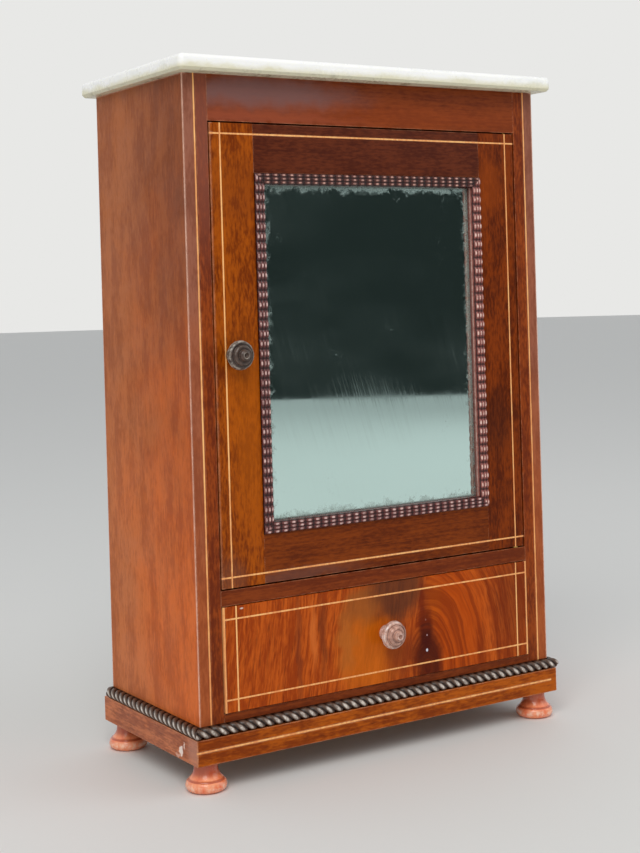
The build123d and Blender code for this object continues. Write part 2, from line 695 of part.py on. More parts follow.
# ---------------------------------------------------------------- drawer
def dovetails(shoulder, end, low, high):
    """Tails of the right drawer side: as wide as DOVETAIL_WIDTH at their ends, narrower at the shoulder."""
    step = (high - low) / DOVETAIL_COUNT
    plane = Plane(origin=(drawer_inner_half, 0, 0), x_dir=(0, 1, 0), z_dir=(1, 0, 0))
    tails = []
    for i in range(DOVETAIL_COUNT):
        z = low + step * (i + 0.5)
        wide = DOVETAIL_WIDTH / 2
        narrow = wide - DOVETAIL_FLARE
        outline = Polyline((shoulder, z - narrow), (end, z - wide), (end, z + wide), (shoulder, z + narrow),
                           close=True)
        tails.append(extrude(plane * make_face(outline), amount=DRAWER_SIDE_THICKNESS))
    return tails


def both(tails):
    """Tails of the right side and of the left side."""
    return tails + [left_of(tail) for tail in tails]


def drawer_strings():
    """Light lines inlaid in the drawer front, which cross near its corners."""
    x = drawer_half - DRAWER_STRING_SIDE_INSET
    half = STRING_WIDTH / 2
    face, floor = drawer_face, drawer_face + STRING_DEPTH
    end = drawer_half - LIPPING_THICKNESS
    upright = block(x - half, x + half, face, floor, drawer_low, drawer_high)
    bars = [upright, left_of(upright)]
    for z in (drawer_low + DRAWER_STRING_END_INSET, drawer_high - DRAWER_STRING_END_INSET):
        bars.append(block(-end, end, face, floor, z - half, z + half))
    return bars


def drawer_lipping():
    """Light strip on the right end of the drawer front."""
    return block(drawer_half - LIPPING_THICKNESS, drawer_half, drawer_face, drawer_lap,
                 drawer_low, drawer_high)


def drawer_bottom():
    """Drawer bottom, which slides in under the back into grooves."""
    reach = drawer_inner_half + DRAWER_GROOVE_DEPTH
    return block(-reach, reach, drawer_front_back - DRAWER_GROOVE_DEPTH, drawer_rear,
                 drawer_bottom_low, drawer_bottom_high)


def drawer_front():
    """Drawer front with sockets for lapped dovetails."""
    board = block(-drawer_half, drawer_half, drawer_face, drawer_front_back, drawer_low, drawer_high)
    lipping = drawer_lipping()
    tails = dovetails(drawer_front_back, drawer_lap, drawer_bottom_high, drawer_side_top)
    spindle = peg((0, drawer_face, drawer_knob_z()), (0, 1, 0), SPINDLE_RADIUS + SEAT_CLEARANCE,
                  DRAWER_SPINDLE_LENGTH + SEAT_CLEARANCE)
    return board - lipping - left_of(lipping) - both(tails) - drawer_strings() - drawer_bottom() - spindle


def drawer_back():
    """Drawer back with pins between the through dovetails."""
    board = block(-drawer_half, drawer_half, drawer_back_front, drawer_rear,
                  drawer_bottom_high, drawer_side_top)
    return board - both(dovetails(drawer_back_front, drawer_rear, drawer_bottom_high, drawer_side_top))


def drawer_side(back_board):
    """Right drawer side with tails at both ends."""
    side = block(drawer_inner_half, drawer_half, drawer_front_back, drawer_rear,
                 drawer_side_low, drawer_side_top)
    tails = dovetails(drawer_front_back, drawer_lap, drawer_bottom_high, drawer_side_top)
    return side + tails - back_board - drawer_bottom()


def drawer_knob_z():
    """Height of the drawer knob, in the middle of the drawer front."""
    return (drawer_low + drawer_high) / 2


# ---------------------------------------------------------------- assembly
def write_case():
    """Carcase, face frame and everything fixed to them."""
    boards = housed_boards()
    for name, board in boards.items():
        node(name, board)
    side = side_panel(boards)
    node("side_panel_right", side)
    node("side_panel_left", left_of(side))
    node("back_panel", back_panel())
    node("back_nails", *back_nails())
    node("shelf", shelf())
    node("shelf_bearers", shelf_bearer(), left_of(shelf_bearer()))
    node("drawer_guides", drawer_guide(), left_of(drawer_guide()))
    node("drawer_stops", drawer_stop(), left_of(drawer_stop()))
    node("door_stop", door_stop())
    pins = {"middle_rail": (door_sill, 1), "top_rail": (door_head, -1)}
    for name, (low, high) in rail_levels().items():
        rail = frame_rail(low, high)
        if name in pins:
            rail -= pivot_hole(*pins[name])
        node(name, rail)
    node("stile_right", frame_stile())
    node("stile_left", left_of(frame_stile()))
    node("side_stringing", side_string(), left_of(side_string()))
    node("pivot_pins", *[pivot_pin(level, up) for level, up in pins.values()])
    node("pivot_washer", pivot_washer())


def write_base_and_top():
    """Marble, plinth, rope moulding and feet."""
    node("marble_top", marble_slab())
    ring = mitred_ring(FOOT_HEIGHT, case_bottom, plinth_half, plinth_front_face, plinth_back_face,
                       PLINTH_BOARD)
    node("plinth_front", ring[0] - plinth_string())
    node("plinth_right", ring[1])
    node("plinth_back", ring[2])
    node("plinth_left", ring[3] - plinth_string())
    node("plinth_stringing", plinth_string())
    node("plinth_corner_blocks", *corner_blocks())
    node("rope_moulding_front", rope_front())
    rope = rope_right()
    node("rope_moulding_right", rope)
    node("rope_moulding_left", left_of(rope))
    node("turned_feet", *[foot(place) for place in foot_places()])


def write_door():
    """Door with its mirror, pivots and latch."""
    stile = door_stile()
    strings = door_strings()
    bushes = {"bottom": (door_bottom, 1), "top": (door_top, -1)}
    sockets = [bush_socket(level, up) for level, up in bushes.values()]
    hole = peg((door_knob_x, front, door_knob_z), (0, 1, 0), SPINDLE_RADIUS + RUNNING_CLEARANCE,
               FRAME_THICKNESS)
    node("door_stile_right", stile - strings - sockets)
    node("door_stile_left", left_of(stile) - strings - hole)
    for name, (low, high) in door_rail_levels().items():
        node(name, door_rail(low, high))
    node("door_stringing", strings[0] + strings[1:])
    node("pivot_bushes", *[pivot_bush(level, up) for level, up in bushes.values()])
    width = 2 * frame_sight_half
    height = frame_sight_top - frame_sight_bottom
    sides = {"bottom": (width, height, 0), "left": (height, width, 90),
             "top": (width, height, 180), "right": (height, width, 270)}
    for name, (length, across, turn) in sides.items():
        node(f"mirror_moulding_{name}", mirror_moulding(length, across / 2, turn))
    node("mirror_glass", glass_plate(mirror_front, mirror_back))
    node("mirror_backboard", glass_plate(mirror_back, backboard_back))
    node("glazing_beads", *glazing_beads())
    spindle = tongue_front - front
    node("door_knob", knob((door_knob_x, front, door_knob_z), spindle) - latch_screw(SEAT_CLEARANCE))
    node("latch_tongue", latch_tongue())
    head = peg((door_knob_x, tongue_back, door_knob_z), (0, 1, 0), SCREW_HEAD_RADIUS, SCREW_HEAD_THICKNESS)
    node("latch_screw", latch_screw(0) + head)


def write_drawer():
    """Drawer with its knob."""
    back_board = drawer_back()
    side = drawer_side(back_board)
    node("drawer_front", drawer_front())
    node("drawer_side_right", side)
    node("drawer_side_left", left_of(side))
    node("drawer_back", back_board)
    node("drawer_bottom", drawer_bottom())
    strings = drawer_strings()
    node("drawer_stringing", strings[0] + strings[1:])
    node("drawer_lippings", drawer_lipping(), left_of(drawer_lipping()))
    node("drawer_knob", knob((0, drawer_face, drawer_knob_z()), DRAWER_SPINDLE_LENGTH))


os.makedirs("parts", exist_ok=True)
write_case()
write_base_and_top()
write_door()
write_drawer()
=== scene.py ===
"""Looks of the table-top mirror cabinet.

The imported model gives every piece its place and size. This file gives the boards their woods, the top its
marble and the door its aged mirror, and builds the turned, twisted and rippled pieces as fine meshes. All
lengths are in metres, unless a note says otherwise, in the model's own frame: +X to the right, +Y to the back
and +Z up.
"""
from __future__ import annotations

import logging
import math
from dataclasses import dataclass, field, replace
from enum import Enum
from typing import Any, Callable, ClassVar, Sequence

import bmesh
import bpy
from mathutils import Matrix, Vector

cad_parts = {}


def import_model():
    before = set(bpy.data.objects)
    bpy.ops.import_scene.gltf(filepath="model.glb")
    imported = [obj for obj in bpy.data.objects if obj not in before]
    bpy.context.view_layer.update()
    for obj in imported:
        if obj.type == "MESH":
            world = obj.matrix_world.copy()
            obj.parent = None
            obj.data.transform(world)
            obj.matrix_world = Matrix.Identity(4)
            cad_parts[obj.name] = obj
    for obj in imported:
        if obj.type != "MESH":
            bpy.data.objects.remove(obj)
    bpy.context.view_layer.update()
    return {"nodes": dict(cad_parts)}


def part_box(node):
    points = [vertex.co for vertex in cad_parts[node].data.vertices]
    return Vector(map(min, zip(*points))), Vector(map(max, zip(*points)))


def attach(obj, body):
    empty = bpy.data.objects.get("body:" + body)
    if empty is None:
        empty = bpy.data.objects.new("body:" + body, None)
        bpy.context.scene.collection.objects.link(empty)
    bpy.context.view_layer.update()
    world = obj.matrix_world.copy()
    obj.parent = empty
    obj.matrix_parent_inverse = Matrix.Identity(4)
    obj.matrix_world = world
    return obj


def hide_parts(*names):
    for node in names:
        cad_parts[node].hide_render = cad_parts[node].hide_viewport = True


LOG = logging.getLogger("cabinet")
MM = 0.001
Colour = tuple[float, float, float, float]
Point2 = tuple[float, float]
Point3 = tuple[float, float, float]
Node = bpy.types.Node
Piece = bpy.types.Object
Socket = bpy.types.NodeSocket
Sockets = dict[str, Socket]
WHITE: Colour = (1.0, 1.0, 1.0, 1.0)
NOISE_SPAN = (0.3, 0.7)  # nearly all values of a noise lie in this span


def srgb(red: int, green: int, blue: int) -> Colour:
    """Turn a colour as a screen shows it into a linear one.

    Args:
        red: red from 0 to 255.
        green: green from 0 to 255.
        blue: blue from 0 to 255.

    Returns:
        The linear colour with full alpha.
    """
    channels = [value / 255 for value in (red, green, blue)]
    linear = [c / 12.92 if c <= 0.04045 else ((c + 0.055) / 1.055) ** 2.4 for c in channels]
    return (linear[0], linear[1], linear[2], 1.0)


class Grain(Enum):
    """Direction in which a board's grain runs."""

    UPRIGHT = "Z"
    ACROSS = "X"
    DEEP = "Y"


# ------------------------------------------------------------------------------------------ node trees
class Tree:
    """Short ways to add and join the nodes of one shader node tree."""

    def __init__(self, tree: bpy.types.NodeTree) -> None:
        """Work on a node tree.

        Args:
            tree: the tree of a material, a world or a group.
        """
        self.tree = tree

    def add(self, kind: str, **settings: Any) -> Node:
        """Add a node.

        Args:
            kind: the node's type name.
            settings: properties to set on it.

        Returns:
            The new node.
        """
        made = self.tree.nodes.new(kind)
        for name, value in settings.items():
            setattr(made, name, value)
        return made

    def feed(self, socket: Socket, value: Any) -> None:
        """Join an output to a socket, or set the socket to a plain value.

        Args:
            socket: the input.
            value: an output socket, a number, a vector or a colour.
        """
        if isinstance(value, Socket):
            self.tree.links.new(value, socket)
        else:
            socket.default_value = value

    def feed_all(self, node: Node, **values: Any) -> Node:
        """Feed a node's inputs by name.

        Args:
            node: the node.
            values: values of its inputs, with underscores for spaces.

        Returns:
            The node itself.
        """
        for name, value in values.items():
            self.feed(node.inputs[name.replace("_", " ")], value)
        return node

    def math(self, operation: str, first: Any, second: Any = 0.0, clamp: bool = False) -> Socket:
        """Add a Math node.

        Args:
            operation: its operation.
            first: first value.
            second: second value.
            clamp: keep the result from 0 to 1.

        Returns:
            The result.
        """
        made = self.add("ShaderNodeMath", operation=operation, use_clamp=clamp)
        self.feed(made.inputs[0], first)
        self.feed(made.inputs[1], second)
        return made.outputs[0]

    def plus(self, first: Any, second: Any, clamp: bool = False) -> Socket:
        """Add two values, and clamp their sum on request."""
        return self.math("ADD", first, second, clamp)

    def minus(self, first: Any, second: Any) -> Socket:
        """Take the second value from the first."""
        return self.math("SUBTRACT", first, second)

    def times(self, first: Any, second: Any, clamp: bool = False) -> Socket:
        """Multiply two values, and clamp the product on request."""
        return self.math("MULTIPLY", first, second, clamp)

    def vector(self, operation: str, first: Any, second: Any) -> Socket:
        """Add a Vector Math node with a vector result.

        Args:
            operation: its operation.
            first: first vector.
            second: second vector.

        Returns:
            The result.
        """
        made = self.add("ShaderNodeVectorMath", operation=operation)
        self.feed(made.inputs[0], first)
        self.feed(made.inputs[1], second)
        return made.outputs[0]

    def split(self, vector: Any) -> tuple[Socket, Socket, Socket]:
        """Split a vector.

        Args:
            vector: the vector.

        Returns:
            Its X, Y and Z.
        """
        made = self.add("ShaderNodeSeparateXYZ")
        self.feed(made.inputs[0], vector)
        return made.outputs[0], made.outputs[1], made.outputs[2]

    def join(self, x: Any, y: Any, z: Any) -> Socket:
        """Join three values into a vector.

        Args:
            x: its X.
            y: its Y.
            z: its Z.

        Returns:
            The vector.
        """
        made = self.add("ShaderNodeCombineXYZ")
        for socket, value in zip(made.inputs, (x, y, z)):
            self.feed(socket, value)
        return made.outputs[0]

    def noise(self, vector: Any, scale: float, detail: float = 3.0, rough: float = 0.5,
              warp: float = 0.0, coloured: bool = False) -> Socket:
        """Add a Noise Texture.

        Args:
            vector: where it is read.
            scale: its scale.
            detail: its number of octaves.
            rough: how strong the finer octaves are.
            warp: its distortion.
            coloured: give three values at once, as a colour.

        Returns:
            Its value or colour, about 0.5 in the mean.
        """
        made = self.feed_all(self.add("ShaderNodeTexNoise"), Vector=vector, Scale=scale, Detail=detail,
                             Roughness=rough, Distortion=warp)
        return made.outputs[1 if coloured else 0]

    def streaks(self, vector: Any, stretch: Point3, detail: float = 3.0, rough: float = 0.5) -> Socket:
        """Add a Noise Texture with its own scale along each axis.

        Args:
            vector: where it is read.
            stretch: its scales along X, Y and Z.
            detail: its number of octaves.
            rough: how strong the finer octaves are.

        Returns:
            Its value, about 0.5 in the mean.
        """
        return self.noise(self.vector("MULTIPLY", vector, stretch), 1.0, detail, rough)

    def band(self, value: Any, low: float, high: float, start: Any = 0.0, end: Any = 1.0) -> Socket:
        """Map a value smoothly from one range to another, and hold it at the ends.

        Args:
            value: the value.
            low: where the range starts.
            high: where the range ends.
            start: result at low.
            end: result at high.

        Returns:
            The mapped value.
        """
        made = self.add("ShaderNodeMapRange", interpolation_type="SMOOTHSTEP")
        for socket, item in zip(made.inputs, (value, low, high, start, end)):
            self.feed(socket, item)
        return made.outputs[0]

    def mix(self, share: Any, first: Any, second: Any, blend: str = "MIX") -> Socket:
        """Mix two colours.

        Args:
            share: how much of the second colour shows.
            first: first colour.
            second: second colour.
            blend: blend type.

        Returns:
            The mixed colour.
        """
        made = self.add("ShaderNodeMix", data_type="RGBA", blend_type=blend, clamp_factor=True)
        self.feed(made.inputs["Factor"], share)
        colours = [socket for socket in made.inputs if socket.type == "RGBA"]
        self.feed(colours[0], first)
        self.feed(colours[1], second)
        return next(socket for socket in made.outputs if socket.type == "RGBA")

    def place(self, group: bpy.types.NodeTree, **values: Any) -> Sockets:
        """Place a node group.

        Args:
            group: the group's tree.
            values: its inputs, with underscores for spaces.

        Returns:
            Its outputs by name.
        """
        made = self.feed_all(self.add("ShaderNodeGroup", node_tree=group), **values)
        return {socket.name: socket for socket in made.outputs}

    def own_place(self) -> Socket:
        """Position on the piece, in the frame of the piece itself."""
        return self.add("ShaderNodeTexCoord").outputs["Object"]

    def crest(self) -> Socket:
        """Crest value that is stored in the piece's mesh."""
        return self.add("ShaderNodeAttribute", attribute_name="crest").outputs["Fac"]


@dataclass(frozen=True)
class Clouds:
    """Soft clouds: a noise whose values from low to high are spread from 0 to 1.

    A stretch gives the clouds a scale of their own along each axis.
    """

    scale: float = 1.0
    low: float = NOISE_SPAN[0]
    high: float = NOISE_SPAN[1]
    detail: float = 4.0
    rough: float = 0.6
    warp: float = 0.0
    stretch: Point3 | None = None

    def lay(self, tree: Tree, place: Socket, start: float = 0.0, end: float = 1.0) -> Socket:
        """Read the clouds at a place.

        Args:
            tree: the tree in which they are used.
            place: where they are read.
            start: result at low.
            end: result at high.

        Returns:
            The mapped value.
        """
        if self.stretch:
            place = tree.vector("MULTIPLY", place, self.stretch)
        noise = tree.noise(place, self.scale, self.detail, self.rough, self.warp)
        return tree.band(noise, self.low, self.high, start, end)


class Group:
    """Base of the shared effects: a node group that is built once."""

    title: ClassVar[str] = "effect"
    inputs: ClassVar[dict[str, tuple[str, Any]]] = {}
    outputs: ClassVar[dict[str, str]] = {}

    @classmethod
    def tree(cls) -> bpy.types.NodeTree:
        """Give the group's tree, and build it at its first use.

        Returns:
            The node tree.
        """
        if cls.title in bpy.data.node_groups:
            return bpy.data.node_groups[cls.title]
        made = bpy.data.node_groups.new(cls.title, "ShaderNodeTree")
        for name, (kind, value) in cls.inputs.items():
            socket = made.interface.new_socket(name=name, in_out="INPUT", socket_type=kind)
            if value is not None:
                socket.default_value = value
        for name, kind in cls.outputs.items():
            made.interface.new_socket(name=name, in_out="OUTPUT", socket_type=kind)
        tree = Tree(made)
        source = tree.add("NodeGroupInput")
        target = tree.add("NodeGroupOutput")
        results = cls.build(tree, {socket.name: socket for socket in source.outputs if socket.name})
        for name, value in results.items():
            tree.feed(target.inputs[name], value)
        return made

    @classmethod
    def build(cls, tree: Tree, source: Sockets) -> Sockets:
        """Fill the group; each effect does this in its own way.

        Args:
            tree: the group's tree.
            source: the group's inputs by name.

        Returns:
            The values of its outputs by name.
        """
        raise NotImplementedError


FLOAT = "NodeSocketFloat"
COLOUR = "NodeSocketColor"
VECTOR = "NodeSocketVector"


class WoodGrain(Group):
    """Straight mahogany grain along Z: ribbons, streaks, mottle, short flecks and open pores."""

    title = "wood_grain"
    inputs = {"Vector": (VECTOR, None), "Light": (COLOUR, None), "Dark": (COLOUR, None),
              "Pore": (COLOUR, None), "Ribbon": (FLOAT, 0.5), "Streak": (FLOAT, 0.5), "Fleck": (FLOAT, 0.3),
              "Mottle": (FLOAT, 0.4), "Pores": (FLOAT, 0.5), "Scale": (FLOAT, 1.0)}
    outputs = {"Color": COLOUR, "Height": FLOAT}
    layers: ClassVar[dict[str, tuple[Point3, float, float]]] = {
        "Ribbon": ((95.0, 95.0, 2.6), 2.0, 0.55), "Streak": ((520.0, 520.0, 15.0), 4.0, 0.65),
        "Fleck": ((640.0, 640.0, 170.0), 3.0, 0.6), "Mottle": ((70.0, 70.0, 26.0), 4.0, 0.62)}
    wander_stretch: ClassVar[Point3] = (7.0, 7.0, 2.5)
    wander_reach: ClassVar[float] = 0.012
    tone_span: ClassVar[Point2] = (0.24, 0.76)
    pore_stretch: ClassVar[Point3] = (1300.0, 1300.0, 120.0)
    pore_span: ClassVar[Point2] = (0.60, 0.70)
    streak_relief: ClassVar[float] = 0.4

    @classmethod
    def build(cls, tree: Tree, source: Sockets) -> Sockets:
        """Layer the parts of the grain by their weights; see the base class."""
        scale = source["Scale"]
        place = tree.vector("MULTIPLY", source["Vector"], tree.join(scale, scale, scale))
        wander = tree.streaks(place, cls.wander_stretch, detail=2.0)
        bent = tree.vector("ADD", place, tree.join(tree.times(wander, cls.wander_reach), 0.0, 0.0))
        layers = {name: tree.streaks(bent, *look) for name, look in cls.layers.items()}
        tone, total = 0.0, 0.0
        for name, layer in layers.items():
            tone = tree.plus(tone, tree.times(tree.band(layer, *NOISE_SPAN), source[name]))
            total = tree.plus(total, source[name])
        tone = tree.band(tree.math("DIVIDE", tone, total), *cls.tone_span)
        dashes = tree.streaks(bent, cls.pore_stretch, detail=1.0)
        pore = tree.times(tree.band(dashes, *cls.pore_span), source["Pores"])
        colour = tree.mix(pore, tree.mix(tone, source["Dark"], source["Light"]), source["Pore"])
        return {"Color": colour, "Height": tree.minus(tree.times(layers["Streak"], cls.streak_relief), pore)}


class EdgeWearAndHighlight(Group):
    """Places where hands and dusters have rubbed the polish from the edges, and on some boards a painted
    highlight along the arris.

    The cosine between the rounded normal and the true one tells a flat from an edge.
    """

    title = "edge_wear_and_highlight"
    inputs = {"Vector": (VECTOR, None), "Reach": (FLOAT, 0.0008), "Amount": (FLOAT, 0.5),
              "Patches": (FLOAT, 1.0)}
    outputs = {"Mask": FLOAT}
    flat_cosine: ClassVar[float] = 0.997
    edge_cosine: ClassVar[float] = 0.88
    rubbed: ClassVar[Clouds] = Clouds(scale=140.0, low=0.36, high=0.62, rough=0.65)

    @classmethod
    def build(cls, tree: Tree, source: Sockets) -> Sockets:
        """Compare the rounded normal with the true one; see the base class."""
        rounded = tree.feed_all(tree.add("ShaderNodeBevel", samples=4), Radius=source["Reach"])
        facing = tree.add("ShaderNodeVectorMath", operation="DOT_PRODUCT")
        tree.feed(facing.inputs[0], rounded.outputs[0])
        tree.feed(facing.inputs[1], tree.add("ShaderNodeNewGeometry").outputs["Normal"])
        edge = tree.band(facing.outputs["Value"], cls.flat_cosine, cls.edge_cosine)
        rubbed = cls.rubbed.lay(tree, source["Vector"])
        kept = tree.plus(tree.times(rubbed, source["Patches"]), tree.minus(1.0, source["Patches"]))
        return {"Mask": tree.times(tree.times(edge, kept), source["Amount"], clamp=True)}


class SoftPatch(Group):
    """A soft-edged round or long patch at a place of the piece."""

    title = "soft_patch"
    inputs = {"Vector": (VECTOR, None), "Middle": (VECTOR, None), "Reach": (VECTOR, None),
              "Softness": (FLOAT, 0.4)}
    outputs = {"Mask": FLOAT}

    @classmethod
    def build(cls, tree: Tree, source: Sockets) -> Sockets:
        """Measure the distance from the middle in reaches; see the base class."""
        away = tree.vector("SUBTRACT", source["Vector"], source["Middle"])
        far = tree.add("ShaderNodeVectorMath", operation="LENGTH")
        tree.feed(far.inputs[0], tree.vector("DIVIDE", away, source["Reach"]))
        outer = tree.plus(1.0, source["Softness"])
        inner = tree.minus(1.0, source["Softness"])
        return {"Mask": tree.band(far.outputs["Value"], outer, inner)}


class Handling(Group):
    """Smears and faint scratches that break up the shine of a polished surface."""

    title = "handling"
    inputs = {"Vector": (VECTOR, None), "Amount": (FLOAT, 0.5)}
    outputs = {"Shine": FLOAT}
    smears: ClassVar[Clouds] = Clouds(scale=28.0, low=0.35, high=0.7, warp=0.6)
    scratches: ClassVar[Clouds] = Clouds(scale=420.0, low=0.4, high=0.7, detail=3.0)
    scratch_share: ClassVar[float] = 0.5

    @classmethod
    def build(cls, tree: Tree, source: Sockets) -> Sockets:
        """Mix broad smears with fine scratches; see the base class."""
        smear = cls.smears.lay(tree, source["Vector"])
        scratch = tree.times(cls.scratches.lay(tree, source["Vector"]), cls.scratch_share)
        return {"Shine": tree.times(tree.plus(smear, scratch), source["Amount"])}


# ------------------------------------------------------------------------------------------ finishes
@dataclass(frozen=True)
class Finish:
    """A finish with a name; each kind of finish builds its own material once."""

    relief_depth: ClassVar[float] = 0.0001
    relief_strength: ClassVar[float] = 0.35

    name: str

    def material(self) -> bpy.types.Material:
        """Give the material, and build it at its first use.

        Returns:
            The material.
        """
        title = f"finish_{self.name}"
        if title in bpy.data.materials:
            return bpy.data.materials[title]
        made = bpy.data.materials.new(title)
        made.use_nodes = True
        made.node_tree.nodes.clear()
        tree = Tree(made.node_tree)
        shader = tree.add("ShaderNodeBsdfPrincipled")
        tree.feed_all(tree.add("ShaderNodeOutputMaterial"), Surface=shader.outputs[0])
        self.paint(tree, shader)
        return made

    def paint(self, tree: Tree, shader: Node) -> None:
        """Feed the shader; each kind of finish does this in its own way.

        Args:
            tree: the material's tree.
            shader: its Principled BSDF.
        """
        raise NotImplementedError

    def smeared(self, tree: Tree, amount: float, rough: float) -> Socket:
        """Roughness of a surface that hands have touched.

        Args:
            tree: the material's tree.
            amount: how strongly smears and scratches add to it.
            rough: roughness where there are none.

        Returns:
            The roughness.
        """
        handled = tree.place(Handling.tree(), Vector=tree.own_place(), Amount=amount)
        return tree.plus(handled["Shine"], rough, clamp=True)

    def relief(self, tree: Tree, height: Socket) -> Socket:
        """Press a height into the surface.

        Args:
            tree: the material's tree.
            height: the height, from 0 to 1.

        Returns:
            The changed normal.
        """
        bump = tree.add("ShaderNodeBump")
        tree.feed_all(bump, Height=height, Distance=self.relief_depth, Strength=self.relief_strength)
        return bump.outputs[0]

    def dress(self, *pieces: Piece) -> None:
        """Put the material on pieces, in place of what they had.

        Args:
            pieces: mesh objects.
        """
        for piece in pieces:
            if not piece.material_slots:
                piece.data.materials.append(self.material())
            for held in piece.material_slots:
                held.material = self.material()


POLISH_PORE = srgb(56, 18, 8)
WORN_AND_HIGHLIT_EDGE = srgb(214, 150, 112)
# Painted highlight, partly wear: the pale line along the front arrises of the case sides.
PALE_WORN_AND_HIGHLIT_EDGE = srgb(244, 200, 178)


@dataclass(frozen=True)
class Wood(Finish):
    """Polished or bare wood with straight grain; wear, which on some boards is also a painted highlight on
    the arris, starts at a distance from the middle plane.
    """

    relief_depth: ClassVar[float] = 0.00012
    relief_strength: ClassVar[float] = 0.45

    light: Colour
    dark: Colour
    pore: Colour = POLISH_PORE
    worn_and_highlit: Colour = WORN_AND_HIGHLIT_EDGE
    grain: Grain = Grain.UPRIGHT
    ribbon: float = 0.6
    streak: float = 0.6
    fleck: float = 0.3
    mottle: float = 0.4
    pores: float = 0.35
    scale: float = 1.0
    shift: Point3 = (0.0, 0.0, 0.0)
    rough: float = 0.32
    worn_rough: float = 0.25
    uneven: float = 0.16
    coat: float = 0.04
    coat_rough: float = 0.16
    sheen: float = 0.07
    wear: float = 0.55
    wear_patches: float = 1.0
    wear_reach: float = 0.0009
    wear_from: float = 0.0

    def along_grain(self, tree: Tree) -> Socket:
        """Turn the piece's own position so that the grain runs along Z.

        Args:
            tree: the material's tree.

        Returns:
            The turned position.
        """
        x, y, z = tree.split(tree.vector("ADD", tree.own_place(), self.shift))
        turned = {Grain.UPRIGHT: (x, y, z), Grain.ACROSS: (z, y, x), Grain.DEEP: (x, z, y)}[self.grain]
        return tree.join(*turned)

    def tint(self, tree: Tree, colour: Socket) -> Socket:
        """Change the wood's colour from place to place; plain wood keeps it."""
        return colour

    def paint(self, tree: Tree, shader: Node) -> None:
        """Lay grain, tint, wear and polish; see the base class."""
        place = tree.own_place()
        grain = tree.place(WoodGrain.tree(), Vector=self.along_grain(tree), Light=self.light, Dark=self.dark,
                           Pore=self.pore, Ribbon=self.ribbon, Streak=self.streak, Fleck=self.fleck,
                           Mottle=self.mottle, Pores=self.pores, Scale=self.scale)
        wear = tree.place(EdgeWearAndHighlight.tree(), Vector=place, Reach=self.wear_reach, Amount=self.wear,
                          Patches=self.wear_patches)
        aside = tree.math("ABSOLUTE", tree.split(place)[0])
        worn_and_highlit = tree.times(wear["Mask"], tree.math("GREATER_THAN", aside, self.wear_from))
        handled = tree.place(Handling.tree(), Vector=place, Amount=self.uneven)
        rough = tree.plus(handled["Shine"], self.rough)
        tree.feed_all(shader, Base_Color=tree.mix(worn_and_highlit, self.tint(tree, grain["Color"]), self.worn_and_highlit),
                      Roughness=tree.plus(rough, tree.times(worn_and_highlit, self.worn_rough), clamp=True),
                      Coat_Weight=self.coat, Coat_Roughness=self.coat_rough, Specular_IOR_Level=self.sheen,
                      Normal=self.relief(tree, grain["Height"]))


@dataclass(frozen=True)
class GradedWood(Wood):
    """Wood whose tone changes over the side of the case: painted light and shade, lighter low down and
    darkest at the top front.

    The tints are for the four corners of a side; a front edge has two of its own, a painted shade low down
    and a painted bluish sheen at the top.
    """

    low_front: Colour = WHITE
    low_back: Colour = WHITE
    high_front: Colour = WHITE
    high_back: Colour = WHITE
    edge_low: Colour = WHITE
    edge_high: Colour = WHITE
    levels: Point2 = (0.03, 0.42)
    depths: Point2 = (-0.05, 0.06)
    level_drift: float = 0.32
    depth_drift: float = 0.10
    facing_front: Point2 = (-0.6, -0.8)

    def tint(self, tree: Tree, colour: Socket) -> Socket:
        """Multiply the wood by the corner tints of painted light and shade, and on the front edge by its own
        tints.

        Args:
            tree: the material's tree.
            colour: the wood's colour.

        Returns:
            The tinted colour.
        """
        _, depth, height = tree.split(tree.own_place())
        drift = tree.minus(tree.noise(tree.own_place(), scale=17.0, detail=4.0, rough=0.6), 0.5)
        rise = tree.band(tree.plus(height, tree.times(drift, self.level_drift)), *self.levels)
        back = tree.band(tree.plus(depth, tree.times(drift, self.depth_drift)), *self.depths)
        low = tree.mix(back, self.low_front, self.low_back)
        high = tree.mix(back, self.high_front, self.high_back)
        # Painted light and shade: the side is lightened low down and darkened at the top front; its front
        # edge gets a painted shade low and a painted bluish sheen high.
        graded = tree.mix(1.0, colour, tree.mix(rise, low, high), "MULTIPLY")
        edge = tree.mix(1.0, colour, tree.mix(rise, self.edge_low, self.edge_high), "MULTIPLY")
        facing = tree.split(tree.add("ShaderNodeNewGeometry").outputs["Normal"])[1]
        return tree.mix(tree.band(facing, *self.facing_front), graded, edge)


@dataclass(frozen=True)
class Patch:
    """A patch of another colour; its middle and reach are across and up the piece's broad face."""

    middle: Point2
    reach: Point2
    colour: Colour
    share: float = 0.7
    softness: float = 0.4
    wander: float = 1.0


@dataclass(frozen=True)
class PatchedWood(Wood):
    """Wood with patches of other colours: figure, old stains, chips and specks, and on some boards painted
    reflections and painted highlights.
    """

    patches: tuple[Patch, ...] = ()
    faces_side: bool = False
    ragged: float = 90.0
    ragged_reach: float = 0.012

    def on_face(self, across: float, up: float, through: float) -> Point3:
        """Turn measures across, up and through the piece's broad face into X, Y and Z."""
        return (through, across, up) if self.faces_side else (across, through, up)

    def tint(self, tree: Tree, colour: Socket) -> Socket:
        """Lay the patches over the wood in order.

        Args:
            tree: the material's tree.
            colour: the wood's colour.

        Returns:
            The patched colour.
        """
        noise = tree.noise(tree.own_place(), self.ragged, detail=4.0, coloured=True)
        drift = tree.vector("SUBTRACT", noise, (0.5, 0.5, 0.5))
        flat = tree.vector("MULTIPLY", tree.own_place(), self.on_face(1.0, 1.0, 0.0))
        for patch in self.patches:
            step = self.ragged_reach * patch.wander
            moved = tree.vector("ADD", flat, tree.vector("MULTIPLY", drift, self.on_face(step, step, 0.0)))
            mask = tree.place(SoftPatch.tree(), Vector=moved, Middle=self.on_face(*patch.middle, 0.0),
                              Reach=self.on_face(*patch.reach, 1.0), Softness=patch.softness)["Mask"]
            colour = tree.mix(tree.times(mask, patch.share), colour, patch.colour)
        return colour


